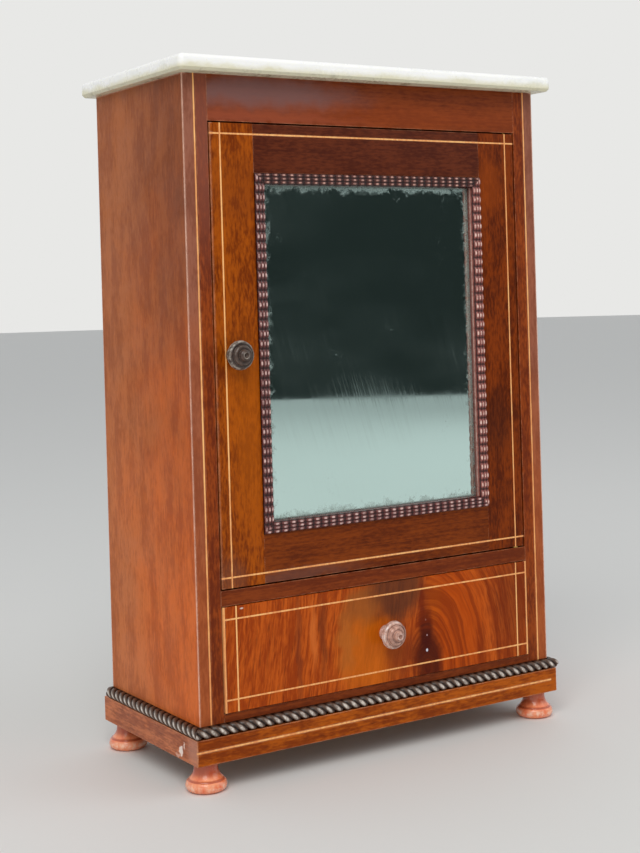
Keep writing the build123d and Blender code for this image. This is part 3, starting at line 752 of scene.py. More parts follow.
@dataclass(frozen=True)
class FlameVeneer(PatchedWood):
    """Flame veneer of the drawer front.

    Upright grain on the left meets a dark join, and right of the join the grain arches round a dark core.
    """

    join_foot: Point2 = (0.016, 0.055)
    join_lean: float = 0.29
    join_width: Point2 = (-0.0015, 0.0025)
    grain_lean: float = -0.13
    grain_sway: float = 0.005
    grain_length: float = 0.6
    core: Point2 = (0.034, 0.050)
    flatness: float = 0.62
    arch_sway: float = 0.008
    line: Colour = WHITE
    line_share: float = 0.6
    line_scales: Point2 = (230.0, 5.0)
    lines: Clouds = Clouds(low=0.52, high=0.38, detail=3.0)

    def along_grain(self, tree: Tree) -> Socket:
        """Bend the position: grain leans left of the join and arches right of it.

        Args:
            tree: the material's tree.

        Returns:
            The bent position.
        """
        x, y, z = tree.split(tree.own_place())
        leaning = tree.plus(tree.plus(x, tree.times(z, self.grain_lean)), self.sway(tree, self.grain_sway))
        side = self.beyond_join(tree)
        bent = tree.plus(tree.times(leaning, tree.minus(1.0, side)), tree.times(self.arch(tree), side))
        return tree.join(bent, y, tree.times(z, self.grain_length))

    def sway(self, tree: Tree, reach: float) -> Socket:
        """A slow wander of the figure, of a given reach."""
        return tree.times(tree.minus(tree.noise(tree.own_place(), scale=30.0, detail=3.0), 0.5), reach)

    def arch(self, tree: Tree) -> Socket:
        """Measure the distance from the core along the arches.

        Args:
            tree: the material's tree.

        Returns:
            The distance, which wanders a little.
        """
        x, _, z = tree.split(tree.own_place())
        rise = tree.times(tree.minus(z, self.core[1]), self.flatness)
        across = tree.minus(x, self.core[0])
        squares = tree.plus(tree.times(across, across), tree.times(rise, rise))
        return tree.plus(tree.math("SQRT", squares), self.sway(tree, self.arch_sway))

    def beyond_join(self, tree: Tree) -> Socket:
        """Tell the two sides of the join apart.

        Args:
            tree: the material's tree.

        Returns:
            0 on the left of the join and 1 on the right.
        """
        x, _, z = tree.split(tree.own_place())
        line = tree.plus(tree.times(tree.minus(z, self.join_foot[1]), self.join_lean), self.join_foot[0])
        return tree.band(tree.minus(x, line), *self.join_width)

    def tint(self, tree: Tree, colour: Socket) -> Socket:
        """Lay the patches, then draw the dark lines of the arches over them.

        Args:
            tree: the material's tree.
            colour: the wood's colour.

        Returns:
            The coloured flame.
        """
        colour = super().tint(tree, colour)
        _, y, z = tree.split(tree.own_place())
        over, up = self.line_scales
        place = tree.join(tree.times(self.arch(tree), over), y, tree.times(z, up))
        lines = tree.times(self.lines.lay(tree, place), self.beyond_join(tree))
        return tree.mix(tree.times(lines, self.line_share), colour, self.line)


@dataclass(frozen=True)
class CarvedWood(Finish):
    """Dark moulding: its crests take a pale colour that is partly rubbed wood and partly painted highlight,
    and its hollows a dark colour that is painted shade, with flecks of dust.
    """

    crest: Colour
    body: Colour
    hollow: Colour
    hollow_below: float = 0.05
    glint_and_bare_from: float = 0.8
    rubbed: Clouds = Clouds(scale=330.0, low=0.35, high=0.65, rough=0.7)
    least_rubbed: float = 0.25
    dust: float = 0.45
    rough: float = 0.3
    uneven: float = 0.15
    coat: float = 0.15
    coat_rough: float = 0.2
    sheen: float = 0.3

    def paint(self, tree: Tree, shader: Node) -> None:
        """Colour the piece by its stored crest value: painted shade in the hollows, painted highlight and
        rubbed wood on the crests; see the base class.
        """
        place, crest = tree.own_place(), tree.crest()
        fine = tree.noise(place, scale=900.0, detail=3.0, rough=0.7)
        rubbed = self.rubbed.lay(tree, place, self.least_rubbed)
        # Painted shade: the hollow colour darkens the piece where its crest value is low.
        colour = tree.mix(tree.band(crest, self.hollow_below, self.glint_and_bare_from), self.hollow, self.body)
        colour = tree.mix(tree.times(tree.band(fine, *NOISE_SPAN), self.dust), colour, self.hollow)
        # Painted highlight, partly rubbed wood: the pale crest colour where the crest value is high.
        bare = tree.times(tree.band(crest, self.glint_and_bare_from, 1.0), rubbed)
        tree.feed_all(shader, Base_Color=tree.mix(bare, colour, self.crest),
                      Roughness=self.smeared(tree, self.uneven, self.rough), Coat_Weight=self.coat,
                      Coat_Roughness=self.coat_rough, Specular_IOR_Level=self.sheen,
                      Normal=self.relief(tree, fine))


@dataclass(frozen=True)
class TurnedWood(Finish):
    """Turned wood: grain along the axis, fine lathe rings, quirks darkened with painted shade, and crests
    paled with painted highlight and wear.
    """

    light: Colour
    dark: Colour
    hollow: Colour
    worn_and_highlit: Colour
    grain: Grain
    rough: float = 0.28
    uneven: float = 0.18
    coat: float = 0.2
    coat_rough: float = 0.12
    sheen: float = 0.35
    wear: float = 0.5
    rubbed: Clouds = Clouds(scale=300.0, low=0.35, high=0.7, rough=0.65)
    clouds: Clouds = Clouds(scale=90.0, detail=3.0, rough=0.5)
    streak_share: float = 0.6
    quirk_share: float = 0.75
    quirk_below: float = 0.45
    highlit_and_rubbed_above: float = 0.55
    fibre: Point2 = (420.0, 30.0)
    ring_rate: float = 9000.0
    ring_relief: float = 0.15
    streak_relief: float = 0.5

    def paint(self, tree: Tree, shader: Node) -> None:
        """Lay grain, rings, painted shade in the quirks and painted highlight with wear on the crests; see
        the base class.
        """
        place, crest = tree.own_place(), tree.crest()
        axis = {Grain.ACROSS: 0, Grain.DEEP: 1, Grain.UPRIGHT: 2}[self.grain]
        fine, coarse = self.fibre
        stretch = tuple(coarse if i == axis else fine for i in range(3))
        streak = tree.streaks(place, stretch, detail=4.0, rough=0.6)
        tone = tree.plus(tree.times(tree.band(streak, *NOISE_SPAN), self.streak_share),
                         tree.times(self.clouds.lay(tree, place), 1 - self.streak_share))
        colour = tree.mix(tone, self.dark, self.light)
        # Painted shade: the quirks take the dark hollow colour.
        quirk = tree.band(crest, self.quirk_below, 0.0, 0.0, self.quirk_share)
        colour = tree.mix(quirk, colour, self.hollow)
        # Painted highlight, partly wear: the pale worn colour on the crests.
        rubbed = tree.times(self.rubbed.lay(tree, place), self.wear)
        rubbed = tree.times(tree.band(crest, self.highlit_and_rubbed_above, 1.0), rubbed)
        rings = tree.math("SINE", tree.times(tree.split(place)[axis], self.ring_rate))
        height = tree.plus(tree.times(rings, self.ring_relief), tree.times(streak, self.streak_relief))
        tree.feed_all(shader, Base_Color=tree.mix(rubbed, colour, self.worn_and_highlit),
                      Roughness=self.smeared(tree, self.uneven, self.rough), Coat_Weight=self.coat,
                      Coat_Roughness=self.coat_rough, Specular_IOR_Level=self.sheen,
                      Normal=self.relief(tree, height))


@dataclass(frozen=True)
class Marble(Finish):
    """White marble with faint grey veins, yellowed and stained round its edge and underside."""

    relief_depth: ClassVar[float] = 0.0002
    relief_strength: ClassVar[float] = 0.25

    white: Colour
    vein: Colour
    stain: Colour
    grime: Colour
    under: float
    top: float
    vein_sway: Point3 = (0.09, 0.09, 0.02)
    vein_width: float = 0.035
    vein_share: float = 0.35
    clouds: Clouds = Clouds(scale=24.0, low=0.45, high=0.8)
    cloud_share: float = 0.3
    stain_share: float = 0.7
    stain_sway: float = 0.008
    dirt_stretch: Point3 = (60.0, 60.0, 120.0)
    stain_levels: Point2 = (0.0035, 0.001)
    grime_level: float = 0.006
    grime_span: Point2 = (0.52, 0.72)
    specks: Clouds = Clouds(scale=520.0, low=0.70, high=0.78, detail=2.0, rough=0.5)
    speck_share: float = 0.35
    rough: float = 0.2
    uneven: float = 0.2

    def paint(self, tree: Tree, shader: Node) -> None:
        """Lay cloud, veins and stains; see the base class."""
        place = tree.own_place()
        warp = tree.noise(place, scale=9.0, detail=4.0, coloured=True)
        bent = tree.vector("ADD", place, tree.vector("MULTIPLY", warp, self.vein_sway))
        line = tree.math("ABSOLUTE", tree.minus(tree.noise(bent, scale=13.0, detail=5.0, rough=0.55), 0.5))
        vein = tree.times(tree.band(line, self.vein_width, 0.0), self.vein_share)
        cloud = tree.times(self.clouds.lay(tree, bent), self.cloud_share)
        colour = tree.mix(tree.math("MAXIMUM", vein, cloud), self.white, self.vein)
        dirt = tree.streaks(place, self.dirt_stretch, detail=4.0, rough=0.65)
        level = tree.plus(tree.split(place)[2], tree.times(tree.minus(dirt, 0.5), self.stain_sway))
        below_top, above_foot = self.stain_levels
        low = tree.band(level, self.top - below_top, self.under + above_foot)
        colour = tree.mix(tree.times(low, self.stain_share), colour, self.stain)
        grime = tree.band(level, self.under + self.grime_level, self.under)
        grime = tree.times(tree.band(dirt, *self.grime_span), grime)
        colour = tree.mix(tree.times(grime, self.stain_share), colour, self.grime)
        specks = tree.times(self.specks.lay(tree, place), self.speck_share)
        tree.feed_all(shader, Base_Color=tree.mix(specks, colour, self.stain),
                      Roughness=self.smeared(tree, self.uneven, self.rough), Subsurface_Weight=0.12,
                      Subsurface_Radius=(0.004, 0.004, 0.003), Subsurface_Scale=1.0,
                      Normal=self.relief(tree, tree.noise(place, scale=340.0, detail=4.0, rough=0.6)))


@dataclass(frozen=True)
class AgedMirror(Finish):
    """Old silvered glass: its silver is dim, and spots have eaten in from the edges."""

    silver: Colour
    spot: Colour
    low: Point2
    high: Point2
    rim: float = 0.0050
    ragged: float = 0.022
    flecks: Clouds = Clouds(scale=620.0, low=0.56, high=0.68, detail=3.0)
    islands: Clouds = Clouds(scale=40.0, low=0.56, high=0.8)
    rim_spots: float = 0.55
    inner_spots: float = 0.4
    dull: float = 0.6
    haze: float = 0.2
    haze_dull: float = 0.05
    haze_rough: float = 0.10
    spot_rough: float = 0.3
    smears: Clouds = Clouds(low=0.42, high=0.75, rough=0.5, stretch=(9.0, 9.0, 22.0))
    scratches: Clouds = Clouds(low=0.45, high=0.75, detail=2.0, rough=0.5, stretch=(900.0, 0.0, 12.0))
    least_scratched: float = 0.35
    scratch_lean: float = 0.3
    rough: float = 0.015
    coat: float = 0.6
    coat_rough: float = 0.02

    def rim_distance(self, tree: Tree) -> Socket:
        """Distance from the nearest sight edge.

        Args:
            tree: the material's tree.

        Returns:
            The distance, which is positive on the glass that shows.
        """
        x, _, z = tree.split(tree.own_place())
        sides = tree.math("MINIMUM", tree.minus(x, self.low[0]), tree.minus(self.high[0], x))
        ends = tree.math("MINIMUM", tree.minus(z, self.low[1]), tree.minus(self.high[1], z))
        return tree.math("MINIMUM", sides, ends)

    def paint(self, tree: Tree, shader: Node) -> None:
        """Dim the silver and spoil it near the edges; see the base class."""
        place = tree.own_place()
        x, _, z = tree.split(place)
        ragged = tree.minus(tree.noise(place, scale=160.0, detail=6.0, rough=0.72), 0.5)
        ragged = tree.times(ragged, self.ragged)
        rim = tree.band(tree.plus(self.rim_distance(tree), ragged), self.rim, 0.0)
        flecks = self.flecks.lay(tree, place)
        inner = tree.times(self.islands.lay(tree, place), flecks)
        spoiled = tree.math("MAXIMUM", tree.times(rim, tree.plus(flecks, self.rim_spots)),
                            tree.times(inner, self.inner_spots), clamp=True)
        leaning = tree.join(tree.plus(x, tree.times(z, self.scratch_lean)), 0.0, z)
        scratches = self.scratches.lay(tree, leaning, self.least_scratched)
        haze = tree.times(self.smears.lay(tree, place), scratches)
        clouded = tree.math("MAXIMUM", tree.times(haze, self.haze), spoiled)
        clear = tree.minus(1.0, tree.times(haze, self.haze_dull))
        rough = tree.plus(tree.times(spoiled, self.spot_rough), tree.times(haze, self.haze_rough))
        tree.feed_all(shader, Base_Color=tree.mix(clouded, self.silver, self.spot),
                      Metallic=tree.minus(clear, tree.times(spoiled, self.dull)),
                      Roughness=tree.plus(rough, self.rough, clamp=True), Coat_Weight=self.coat,
                      Coat_Roughness=self.coat_rough)


@dataclass(frozen=True)
class Metal(Finish):
    """Brass or iron with tarnish."""

    relief_depth: ClassVar[float] = 0.00005
    relief_strength: ClassVar[float] = 0.3

    clean: Colour
    tarnish: Colour
    stains: Clouds = Clouds(scale=240.0, low=0.35, high=0.72, detail=5.0, rough=0.65)
    rough: float = 0.3
    tarnish_rough: float = 0.3

    def paint(self, tree: Tree, shader: Node) -> None:
        """Lay tarnish over the metal; see the base class."""
        place = tree.own_place()
        stain = self.stains.lay(tree, place)
        tree.feed_all(shader, Base_Color=tree.mix(stain, self.clean, self.tarnish), Metallic=1.0,
                      Roughness=tree.plus(tree.times(stain, self.tarnish_rough), self.rough),
                      Normal=self.relief(tree, tree.noise(place, scale=1400.0, detail=3.0)))


SIDE_WOOD = GradedWood("side_mahogany", srgb(190, 112, 66), srgb(164, 90, 50), srgb(118, 58, 32), PALE_WORN_AND_HIGHLIT_EDGE,
                       ribbon=0.2, streak=0.2, fleck=0.4, mottle=0.7, pores=0.2, rough=0.4, coat=0.06,
                       # Painted highlight, partly wear: the pale line along the side's front arris comes from
                       # the wear settings below.
                       sheen=0.1, wear=1.0, wear_patches=0.35, wear_reach=0.0018, wear_from=0.1362,
                       # Painted light and shade: the corner and front-edge tints below.
                       low_front=(1.45, 0.98, 0.45, 1.0), low_back=(1.2, 1.12, 1.0, 1.0),
                       high_front=(0.56, 0.47, 0.40, 1.0), high_back=(0.86, 0.82, 0.76, 1.0),
                       edge_low=(0.82, 0.62, 0.48, 1.0), edge_high=(0.62, 0.72, 1.3, 1.0))
STILE_WOOD = PatchedWood("frame_mahogany_upright", srgb(152, 68, 22), srgb(108, 42, 16),
                         ribbon=0.2, streak=0.3, fleck=0.6, mottle=0.6, pores=0.3,
                         # Painted reflection: the pinkish-grey patch at the top of the left stile.
                         patches=(Patch((-0.126, 0.415), (0.012, 0.075), srgb(142, 84, 68), 0.6, 0.7),))
RAIL_WOOD = PatchedWood("frame_mahogany_across", srgb(134, 60, 22), srgb(104, 42, 16),
                        grain=Grain.ACROSS, ribbon=0.4, streak=0.5, fleck=0.4, mottle=0.3, pores=0.25,
                        # Painted reflection: the grey-mauve patch over the left of the top rail, with a
                        # pinkish strip along its foot, is a painted sheen of the sky.
                        patches=(Patch((-0.085, 0.430), (0.065, 0.010), srgb(128, 92, 88), 0.85, 0.6),
                                 Patch((-0.09, 0.4155), (0.07, 0.0035), srgb(156, 84, 66), 0.6, 0.6),
                                 Patch((0.0, 0.419), (0.16, 0.008), srgb(150, 66, 24), 0.45, 0.6)))
DOOR_STILE_LEFT_WOOD = PatchedWood(
    "door_mahogany_left", srgb(168, 80, 8), srgb(116, 46, 4),
    # Partly rubbed polish and partly a painted highlight: the pale line along the door's left arris.
    ribbon=0.2, streak=0.2, fleck=0.7, mottle=0.7, pores=0.25, wear=0.9, wear_patches=0.6, wear_reach=0.0016,
    wear_from=0.1185,
    patches=(Patch((-0.098, 0.225), (0.012, 0.05), srgb(184, 92, 6), 0.5, 0.6),
             Patch((-0.1, 0.37), (0.02, 0.02), srgb(128, 58, 14), 0.4, 0.6),
             # Painted reflection: the grey-brown patch at the foot of the left door stile.
             Patch((-0.114, 0.129), (0.009, 0.012), srgb(118, 74, 54), 0.45, 0.6)))
DOOR_STILE_RIGHT_WOOD = PatchedWood(
    "door_mahogany_right", srgb(132, 54, 6), srgb(86, 30, 4),
    ribbon=0.2, streak=0.3, fleck=0.7, mottle=0.7, pores=0.25, shift=(0.3, 0.0, 0.1), wear_from=0.1185,
    patches=(Patch((0.098, 0.375), (0.010, 0.018), srgb(150, 64, 6), 0.55, 0.5),
             Patch((0.1, 0.21), (0.012, 0.022), srgb(66, 26, 10), 0.5, 0.6)))
DOOR_TOP_WOOD = Wood("door_mahogany_top", srgb(102, 46, 24), srgb(78, 32, 18), srgb(52, 20, 11),
                     grain=Grain.ACROSS, ribbon=0.1, streak=0.2, fleck=0.45, mottle=0.35, pores=0.2)
DOOR_LOW_WOOD = PatchedWood("door_mahogany_low", srgb(130, 58, 14), srgb(96, 38, 10),
                            grain=Grain.ACROSS, ribbon=0.4, streak=0.4, fleck=0.5, mottle=0.4, pores=0.3,
                            # Painted reflection: the grey-brown patch at the left end of the door's bottom
                            # rail.
                            patches=(Patch((-0.075, 0.1255), (0.05, 0.004), srgb(112, 72, 60), 0.55, 0.6),))
PLINTH_WOOD = Wood("plinth_mahogany_across", srgb(182, 90, 18), srgb(130, 54, 10),
                   grain=Grain.ACROSS, ribbon=0.3, streak=0.4, fleck=0.5, mottle=0.6, pores=0.35, wear=1.0,
                   wear_patches=0.7, wear_reach=0.0011)
PLINTH_SIDE_WOOD = PatchedWood(
    "plinth_mahogany_deep", srgb(204, 120, 76), srgb(154, 80, 48),
    grain=Grain.DEEP, ribbon=0.3, streak=0.4, fleck=0.5, mottle=0.6, pores=0.35, wear=1.0, wear_patches=0.7,
    wear_reach=0.0011, sheen=0.16,
    faces_side=True, ragged=320.0, ragged_reach=0.006,
    patches=(Patch((-0.058, 0.027), (0.008, 0.009), srgb(206, 150, 128), 0.45, 0.7),
             Patch((-0.0405, 0.0235), (0.0024, 0.0030), srgb(246, 226, 214), 0.95, 0.15),
             Patch((-0.045, 0.0275), (0.0010, 0.0020), srgb(240, 214, 200), 0.85, 0.2),
             Patch((-0.036, 0.020), (0.0030, 0.0010), srgb(232, 190, 170), 0.6, 0.3)))
PLINTH_FAR_WOOD = replace(PLINTH_SIDE_WOOD, name="plinth_mahogany_far", patches=())
FLAME_WOOD = FlameVeneer(
    "flame_veneer", srgb(194, 88, 22), srgb(152, 58, 8),
    ribbon=0.2, streak=0.4, fleck=0.7, mottle=0.5, pores=0.4, rough=0.28, coat=0.03, sheen=0.08,
    wear_from=0.1185, line=srgb(118, 36, 0),
    patches=(Patch((-0.067, 0.080), (0.0022, 0.040), srgb(118, 50, 22), 0.55, 0.5, 0.5),
             Patch((-0.056, 0.085), (0.0022, 0.018), srgb(214, 110, 44), 0.7, 0.6, 0.5),
             Patch((-0.049, 0.083), (0.0030, 0.026), srgb(112, 50, 20), 0.55, 0.6, 0.6),
             Patch((-0.014, 0.070), (0.021, 0.030), srgb(208, 106, 16), 0.65, 0.5, 1.4),
             Patch((-0.031, 0.078), (0.006, 0.020), srgb(172, 102, 42), 0.5, 0.6, 1.4),
             Patch((-0.018, 0.100), (0.014, 0.012), srgb(146, 84, 36), 0.7, 0.6, 1.4),
             Patch((0.058, 0.076), (0.022, 0.036), srgb(184, 72, 0), 0.7, 0.5, 1.2),
             Patch((0.040, 0.094), (0.006, 0.012), srgb(190, 86, 8), 0.6, 0.6),
             Patch((0.011, 0.107), (0.021, 0.022), srgb(84, 48, 30), 0.8, 0.4, 1.2),
             Patch((0.012, 0.064), (0.012, 0.014), srgb(132, 54, 18), 0.6, 0.6),
             Patch((0.112, 0.088), (0.020, 0.036), srgb(112, 48, 16), 0.55, 0.6, 1.4),
             Patch((0.030, 0.094), (0.0020, 0.018), srgb(100, 24, 8), 0.65, 0.6, 0.6),
             Patch((0.034, 0.056), (0.0115, 0.021), srgb(64, 14, 5), 0.88, 0.4, 1.0),
             Patch((0.033, 0.076), (0.0045, 0.014), srgb(70, 16, 6), 0.85, 0.5, 0.7),
             # Painted highlights: the three small pale specks below are glints of light on runs of old
             # polish.
             Patch((0.0335, 0.0625), (0.0008, 0.0010), srgb(226, 226, 238), 0.9, 0.4, 0.0),
             Patch((0.0338, 0.0725), (0.0005, 0.0006), srgb(214, 176, 176), 0.7, 0.4, 0.0),
             Patch((0.0330, 0.0830), (0.0005, 0.0006), srgb(220, 170, 150), 0.6, 0.4, 0.0),
             Patch((-0.108, 0.1098), (0.0012, 0.0005), srgb(240, 224, 212), 0.7, 0.4, 0.2)))
SHELF_WOOD = Wood("inner_mahogany", srgb(134, 84, 56), srgb(98, 56, 36),
                  grain=Grain.ACROSS, rough=0.5, coat=0.0)
DRAWER_WOOD = Wood("drawer_mahogany", srgb(170, 118, 82), srgb(132, 84, 56), srgb(90, 54, 36),
                   grain=Grain.DEEP, rough=0.55, coat=0.0, pores=0.4)
DRAWER_BACK_WOOD = replace(DRAWER_WOOD, name="drawer_mahogany_across", grain=Grain.ACROSS)
PINE = Wood("inner_pine", srgb(196, 156, 108), srgb(158, 114, 74), srgb(126, 84, 50), srgb(220, 190, 150),
            grain=Grain.ACROSS, ribbon=0.9, streak=0.5, pores=0.1, rough=0.6, coat=0.0)
PINE_DEEP = Wood("inner_pine_deep", srgb(190, 150, 104), srgb(152, 108, 70), srgb(126, 84, 50),
                 srgb(220, 190, 150), grain=Grain.DEEP, ribbon=0.9, pores=0.1, rough=0.6, coat=0.0)
BACK_PINE = Wood("back_pine", srgb(170, 128, 86), srgb(126, 88, 56), srgb(96, 64, 40), srgb(200, 166, 126),
                 ribbon=1.0, streak=0.5, pores=0.1, rough=0.65, coat=0.0, scale=0.7)
BOXWOOD = Wood("boxwood", srgb(255, 194, 124), srgb(234, 152, 92), srgb(176, 106, 50), srgb(252, 210, 156),
               ribbon=0.3, streak=0.6, fleck=0.5, pores=0.15, rough=0.36, wear=0.0)
# Painted light on the carved mouldings: the pale first colour stands for highlights and rubbed crests, the
# dark last colour for shade in the hollows.
ROPE_WOOD = CarvedWood("rope_walnut", srgb(234, 224, 212), srgb(98, 74, 60), srgb(24, 11, 7), glint_and_bare_from=0.76)
RIPPLE_WOOD = CarvedWood("moulding_mahogany", srgb(232, 198, 190), srgb(120, 62, 58), srgb(40, 10, 10),
                         glint_and_bare_from=0.72, rough=0.22)
# Painted light: the top side is a darker, shaded copy of the moulding and the right side a paler, pinker lit
# copy with a painted sky reflection.
RIPPLE_SHADED_TOP_WOOD = CarvedWood("moulding_mahogany_top_shaded", srgb(216, 168, 152), srgb(96, 50, 44), srgb(34, 9, 8),
                             glint_and_bare_from=0.78, rough=0.22)
RIPPLE_LIT_RIGHT_WOOD = CarvedWood("moulding_mahogany_right_lit", srgb(250, 214, 200), srgb(166, 92, 82),
                               srgb(48, 13, 12), glint_and_bare_from=0.66, rough=0.22)
# Painted light: the feet's colours are lightened for the light that falls on them, and the pale worn colour
# stands for their highlights as well as wear.
FOOT_WOOD = TurnedWood("turned_mahogany", srgb(255, 166, 116), srgb(234, 108, 64), srgb(168, 62, 30),
                       srgb(255, 226, 200), Grain.UPRIGHT, rough=0.2, coat=0.6, wear=0.65)
# Painted highlight, partly wear: the pale worn colour on each knob's rim, ring and tip.
DOOR_KNOB_WOOD = TurnedWood("turned_walnut_dark", srgb(92, 72, 62), srgb(38, 27, 22), srgb(15, 10, 8),
                            srgb(222, 214, 200), Grain.DEEP, rough=0.2, coat=0.3, sheen=0.3, wear=0.85)
# Partly wear and partly painted light: the drawer knob is a paler copy of the door knob, as lit from above
# and rubbed.
DRAWER_KNOB_WOOD = TurnedWood("turned_walnut_lit_and_worn", srgb(222, 172, 152), srgb(112, 66, 52), srgb(56, 26, 18),
                              srgb(255, 242, 234), Grain.DEEP, rough=0.18, coat=0.5, wear=0.9)
BRASS = Metal("brass", srgb(206, 166, 92), srgb(120, 88, 46))
IRON = Metal("nail_iron", srgb(96, 88, 84), srgb(58, 40, 32), rough=0.5)


# ------------------------------------------------------------------------------------------ mesh helpers
WELD_DISTANCE = 0.01 * MM
SHARP_ANGLE = math.radians(40)


def arc(start: Point2, end: Point2, bow: float, steps: int) -> list[Point2]:
    """Points of a shallow arc between two outline points, without its last point.

    Args:
        start: first point.
        end: last point.
        bow: rise over chord, to the left when positive.
        steps: number of parts.

    Returns:
        The points.
    """
    dx, dy = end[0] - start[0], end[1] - start[1]
    points = []
    for i in range(steps):
        t = i / steps
        lift = 4 * bow * t * (1 - t)
        points.append((start[0] + dx * t - dy * lift, start[1] + dy * t + dx * lift))
    return points


def link(name: str, data: Any) -> Piece:
    """Make an object and link it to the scene.

    Args:
        name: its name.
        data: its mesh, lamp or camera.

    Returns:
        The new object.
    """
    piece = bpy.data.objects.new(name, data)
    bpy.context.scene.collection.objects.link(piece)
    return piece


def grid_mesh(name: str, rows: Sequence[Sequence[Vector]], crest: Sequence[Sequence[float]],
              closed: bool) -> Piece:
    """Make a smooth mesh from rows of points.

    Args:
        name: name of the piece.
        rows: rows of points, all of one length.
        crest: for each point, 1 on a crest and 0 in a hollow.
        closed: join each row's last point to its first.

    Returns:
        The new object, linked to the scene.
    """
    width = len(rows[0])
    points = [tuple(point) for row in rows for point in row]
    last = width if closed else width - 1
    faces = []
    for low in range(0, (len(rows) - 1) * width, width):
        for c in range(last):
            beside = (c + 1) % width
            faces.append((low + c, low + beside, low + width + beside, low + width + c))
    mesh = bpy.data.meshes.new(name)
    mesh.from_pydata(points, [], faces)
    stored = mesh.attributes.new("crest", "FLOAT", "POINT")
    stored.data.foreach_set("value", [value for row in crest for value in row])
    mesh.polygons.foreach_set("use_smooth", [True] * len(faces))
    return link(name, mesh)


def cut(piece: Piece, point: Vector, outward: Vector) -> None:
    """Cut a closed mesh by a plane, drop what lies outward and close the cut.

    Args:
        piece: the object.
        point: a point of the plane.
        outward: the side that is dropped.
    """
    work = bmesh.new()
    work.from_mesh(piece.data)
    made = bmesh.ops.bisect_plane(work, geom=work.verts[:] + work.edges[:] + work.faces[:], plane_co=point,
                                  plane_no=outward, clear_outer=True)
    rim = [item for item in made["geom_cut"] if isinstance(item, bmesh.types.BMEdge)]
    if rim:
        bmesh.ops.triangle_fill(work, edges=rim, use_beauty=True)
    bmesh.ops.recalc_face_normals(work, faces=work.faces[:])
    work.to_mesh(piece.data)
    work.free()


def lathe(name: str, outline: Sequence[Point2], crest: Callable[[float, float], float],
          segments: int = 72) -> Piece:
    """Turn an outline of (radius, height) points about Z.

    Args:
        name: name of the piece.
        outline: the outline, from the bottom up.
        crest: gives the crest value of an outline point.
        segments: number of parts round the axis.

    Returns:
        The new object.
    """
    angles = [2 * math.pi * i / segments for i in range(segments)]
    rows = [[Vector((r * math.cos(a), r * math.sin(a), h)) for a in angles] for r, h in outline]
    values = [[crest(r, h)] * segments for r, h in outline]
    return grid_mesh(name, rows, values, closed=True)


def soften(piece: Piece, width: float) -> None:
    """Round a board's arrises a little, so that they catch the light.

    Args:
        piece: a board of the model.
        width: width of the rounding.
    """
    weld = piece.modifiers.new("weld", "WELD")
    weld.merge_threshold = WELD_DISTANCE
    bevel = piece.modifiers.new("arris", "BEVEL")
    bevel.width = width
    bevel.segments = 2
    bevel.limit_method = "ANGLE"
    bevel.angle_limit = SHARP_ANGLE
    bevel.harden_normals = True


# ------------------------------------------------------------------------------------------ sub-assemblies
@dataclass
class Boards:
    """Flat boards of the model, with the finish and the arris of each."""

    nodes: dict[str, Piece]
    arris: float = 0.25 * MM
    finishes: dict[str, Finish] = field(default_factory=lambda: {
        "side_panel_left": SIDE_WOOD, "side_panel_right": SIDE_WOOD, "back_panel": BACK_PINE,
        "top_board": PINE, "divider_board": PINE, "bottom_board": PINE, "shelf": SHELF_WOOD,
        "shelf_bearers": PINE_DEEP, "drawer_guides": PINE_DEEP, "drawer_stops": PINE, "door_stop": PINE,
        "stile_left": STILE_WOOD, "stile_right": STILE_WOOD, "top_rail": RAIL_WOOD, "middle_rail": RAIL_WOOD,
        "bottom_rail": RAIL_WOOD, "plinth_front": PLINTH_WOOD, "plinth_back": PLINTH_WOOD,
        "plinth_left": PLINTH_SIDE_WOOD, "plinth_right": PLINTH_FAR_WOOD, "plinth_corner_blocks": PINE,
        "door_stile_left": DOOR_STILE_LEFT_WOOD, "door_stile_right": DOOR_STILE_RIGHT_WOOD,
        "door_rail_top": DOOR_TOP_WOOD, "door_rail_bottom": DOOR_LOW_WOOD, "mirror_backboard": PINE,
        "glazing_beads": SHELF_WOOD, "drawer_front": FLAME_WOOD, "drawer_side_left": DRAWER_WOOD,
        "drawer_side_right": DRAWER_WOOD, "drawer_back": DRAWER_BACK_WOOD, "drawer_bottom": PINE_DEEP,
    })
    inlays: tuple[str, ...] = ("side_stringing", "plinth_stringing", "door_stringing", "drawer_stringing",
                               "drawer_lippings")

    def build(self) -> None:
        """Dress the boards and the inlaid lines."""
        for name, finish in self.finishes.items():
            finish.dress(self.nodes[name])
            soften(self.nodes[name], self.arris)
        for name in self.inlays:
            BOXWOOD.dress(self.nodes[name])
        LOG.info("boards: %d dressed, %d inlays", len(self.finishes), len(self.inlays))


@dataclass
class Fittings:
    """Brass, iron, mirror and marble of the model; the glass shows between the mouldings' sight edges."""

    nodes: dict[str, Piece]
    brass: tuple[str, ...] = ("pivot_pins", "pivot_washer", "pivot_bushes", "latch_tongue", "latch_screw")

    def build(self) -> None:
        """Dress the metal, the mirror and the marble."""
        for name in self.brass:
            BRASS.dress(self.nodes[name])
        IRON.dress(self.nodes["back_nails"])
        self.dress_mirror()
        self.dress_marble()
        LOG.info("fittings dressed")

    def dress_mirror(self) -> None:
        """Give the glass its aged silver."""
        left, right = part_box("mirror_moulding_left")[1][0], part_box("mirror_moulding_right")[0][0]
        bottom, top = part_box("mirror_moulding_bottom")[1][2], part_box("mirror_moulding_top")[0][2]
        AgedMirror("mirror", srgb(206, 232, 226), srgb(158, 176, 168), (left, bottom), (right, top)
                   ).dress(self.nodes["mirror_glass"])

    def dress_marble(self) -> None:
        """Give the slab its stone."""
        low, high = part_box("marble_top")
        Marble("marble", srgb(254, 253, 250), srgb(230, 233, 228), srgb(212, 204, 158), srgb(140, 128, 84),
               low[2], high[2]
               ).dress(self.nodes["marble_top"])


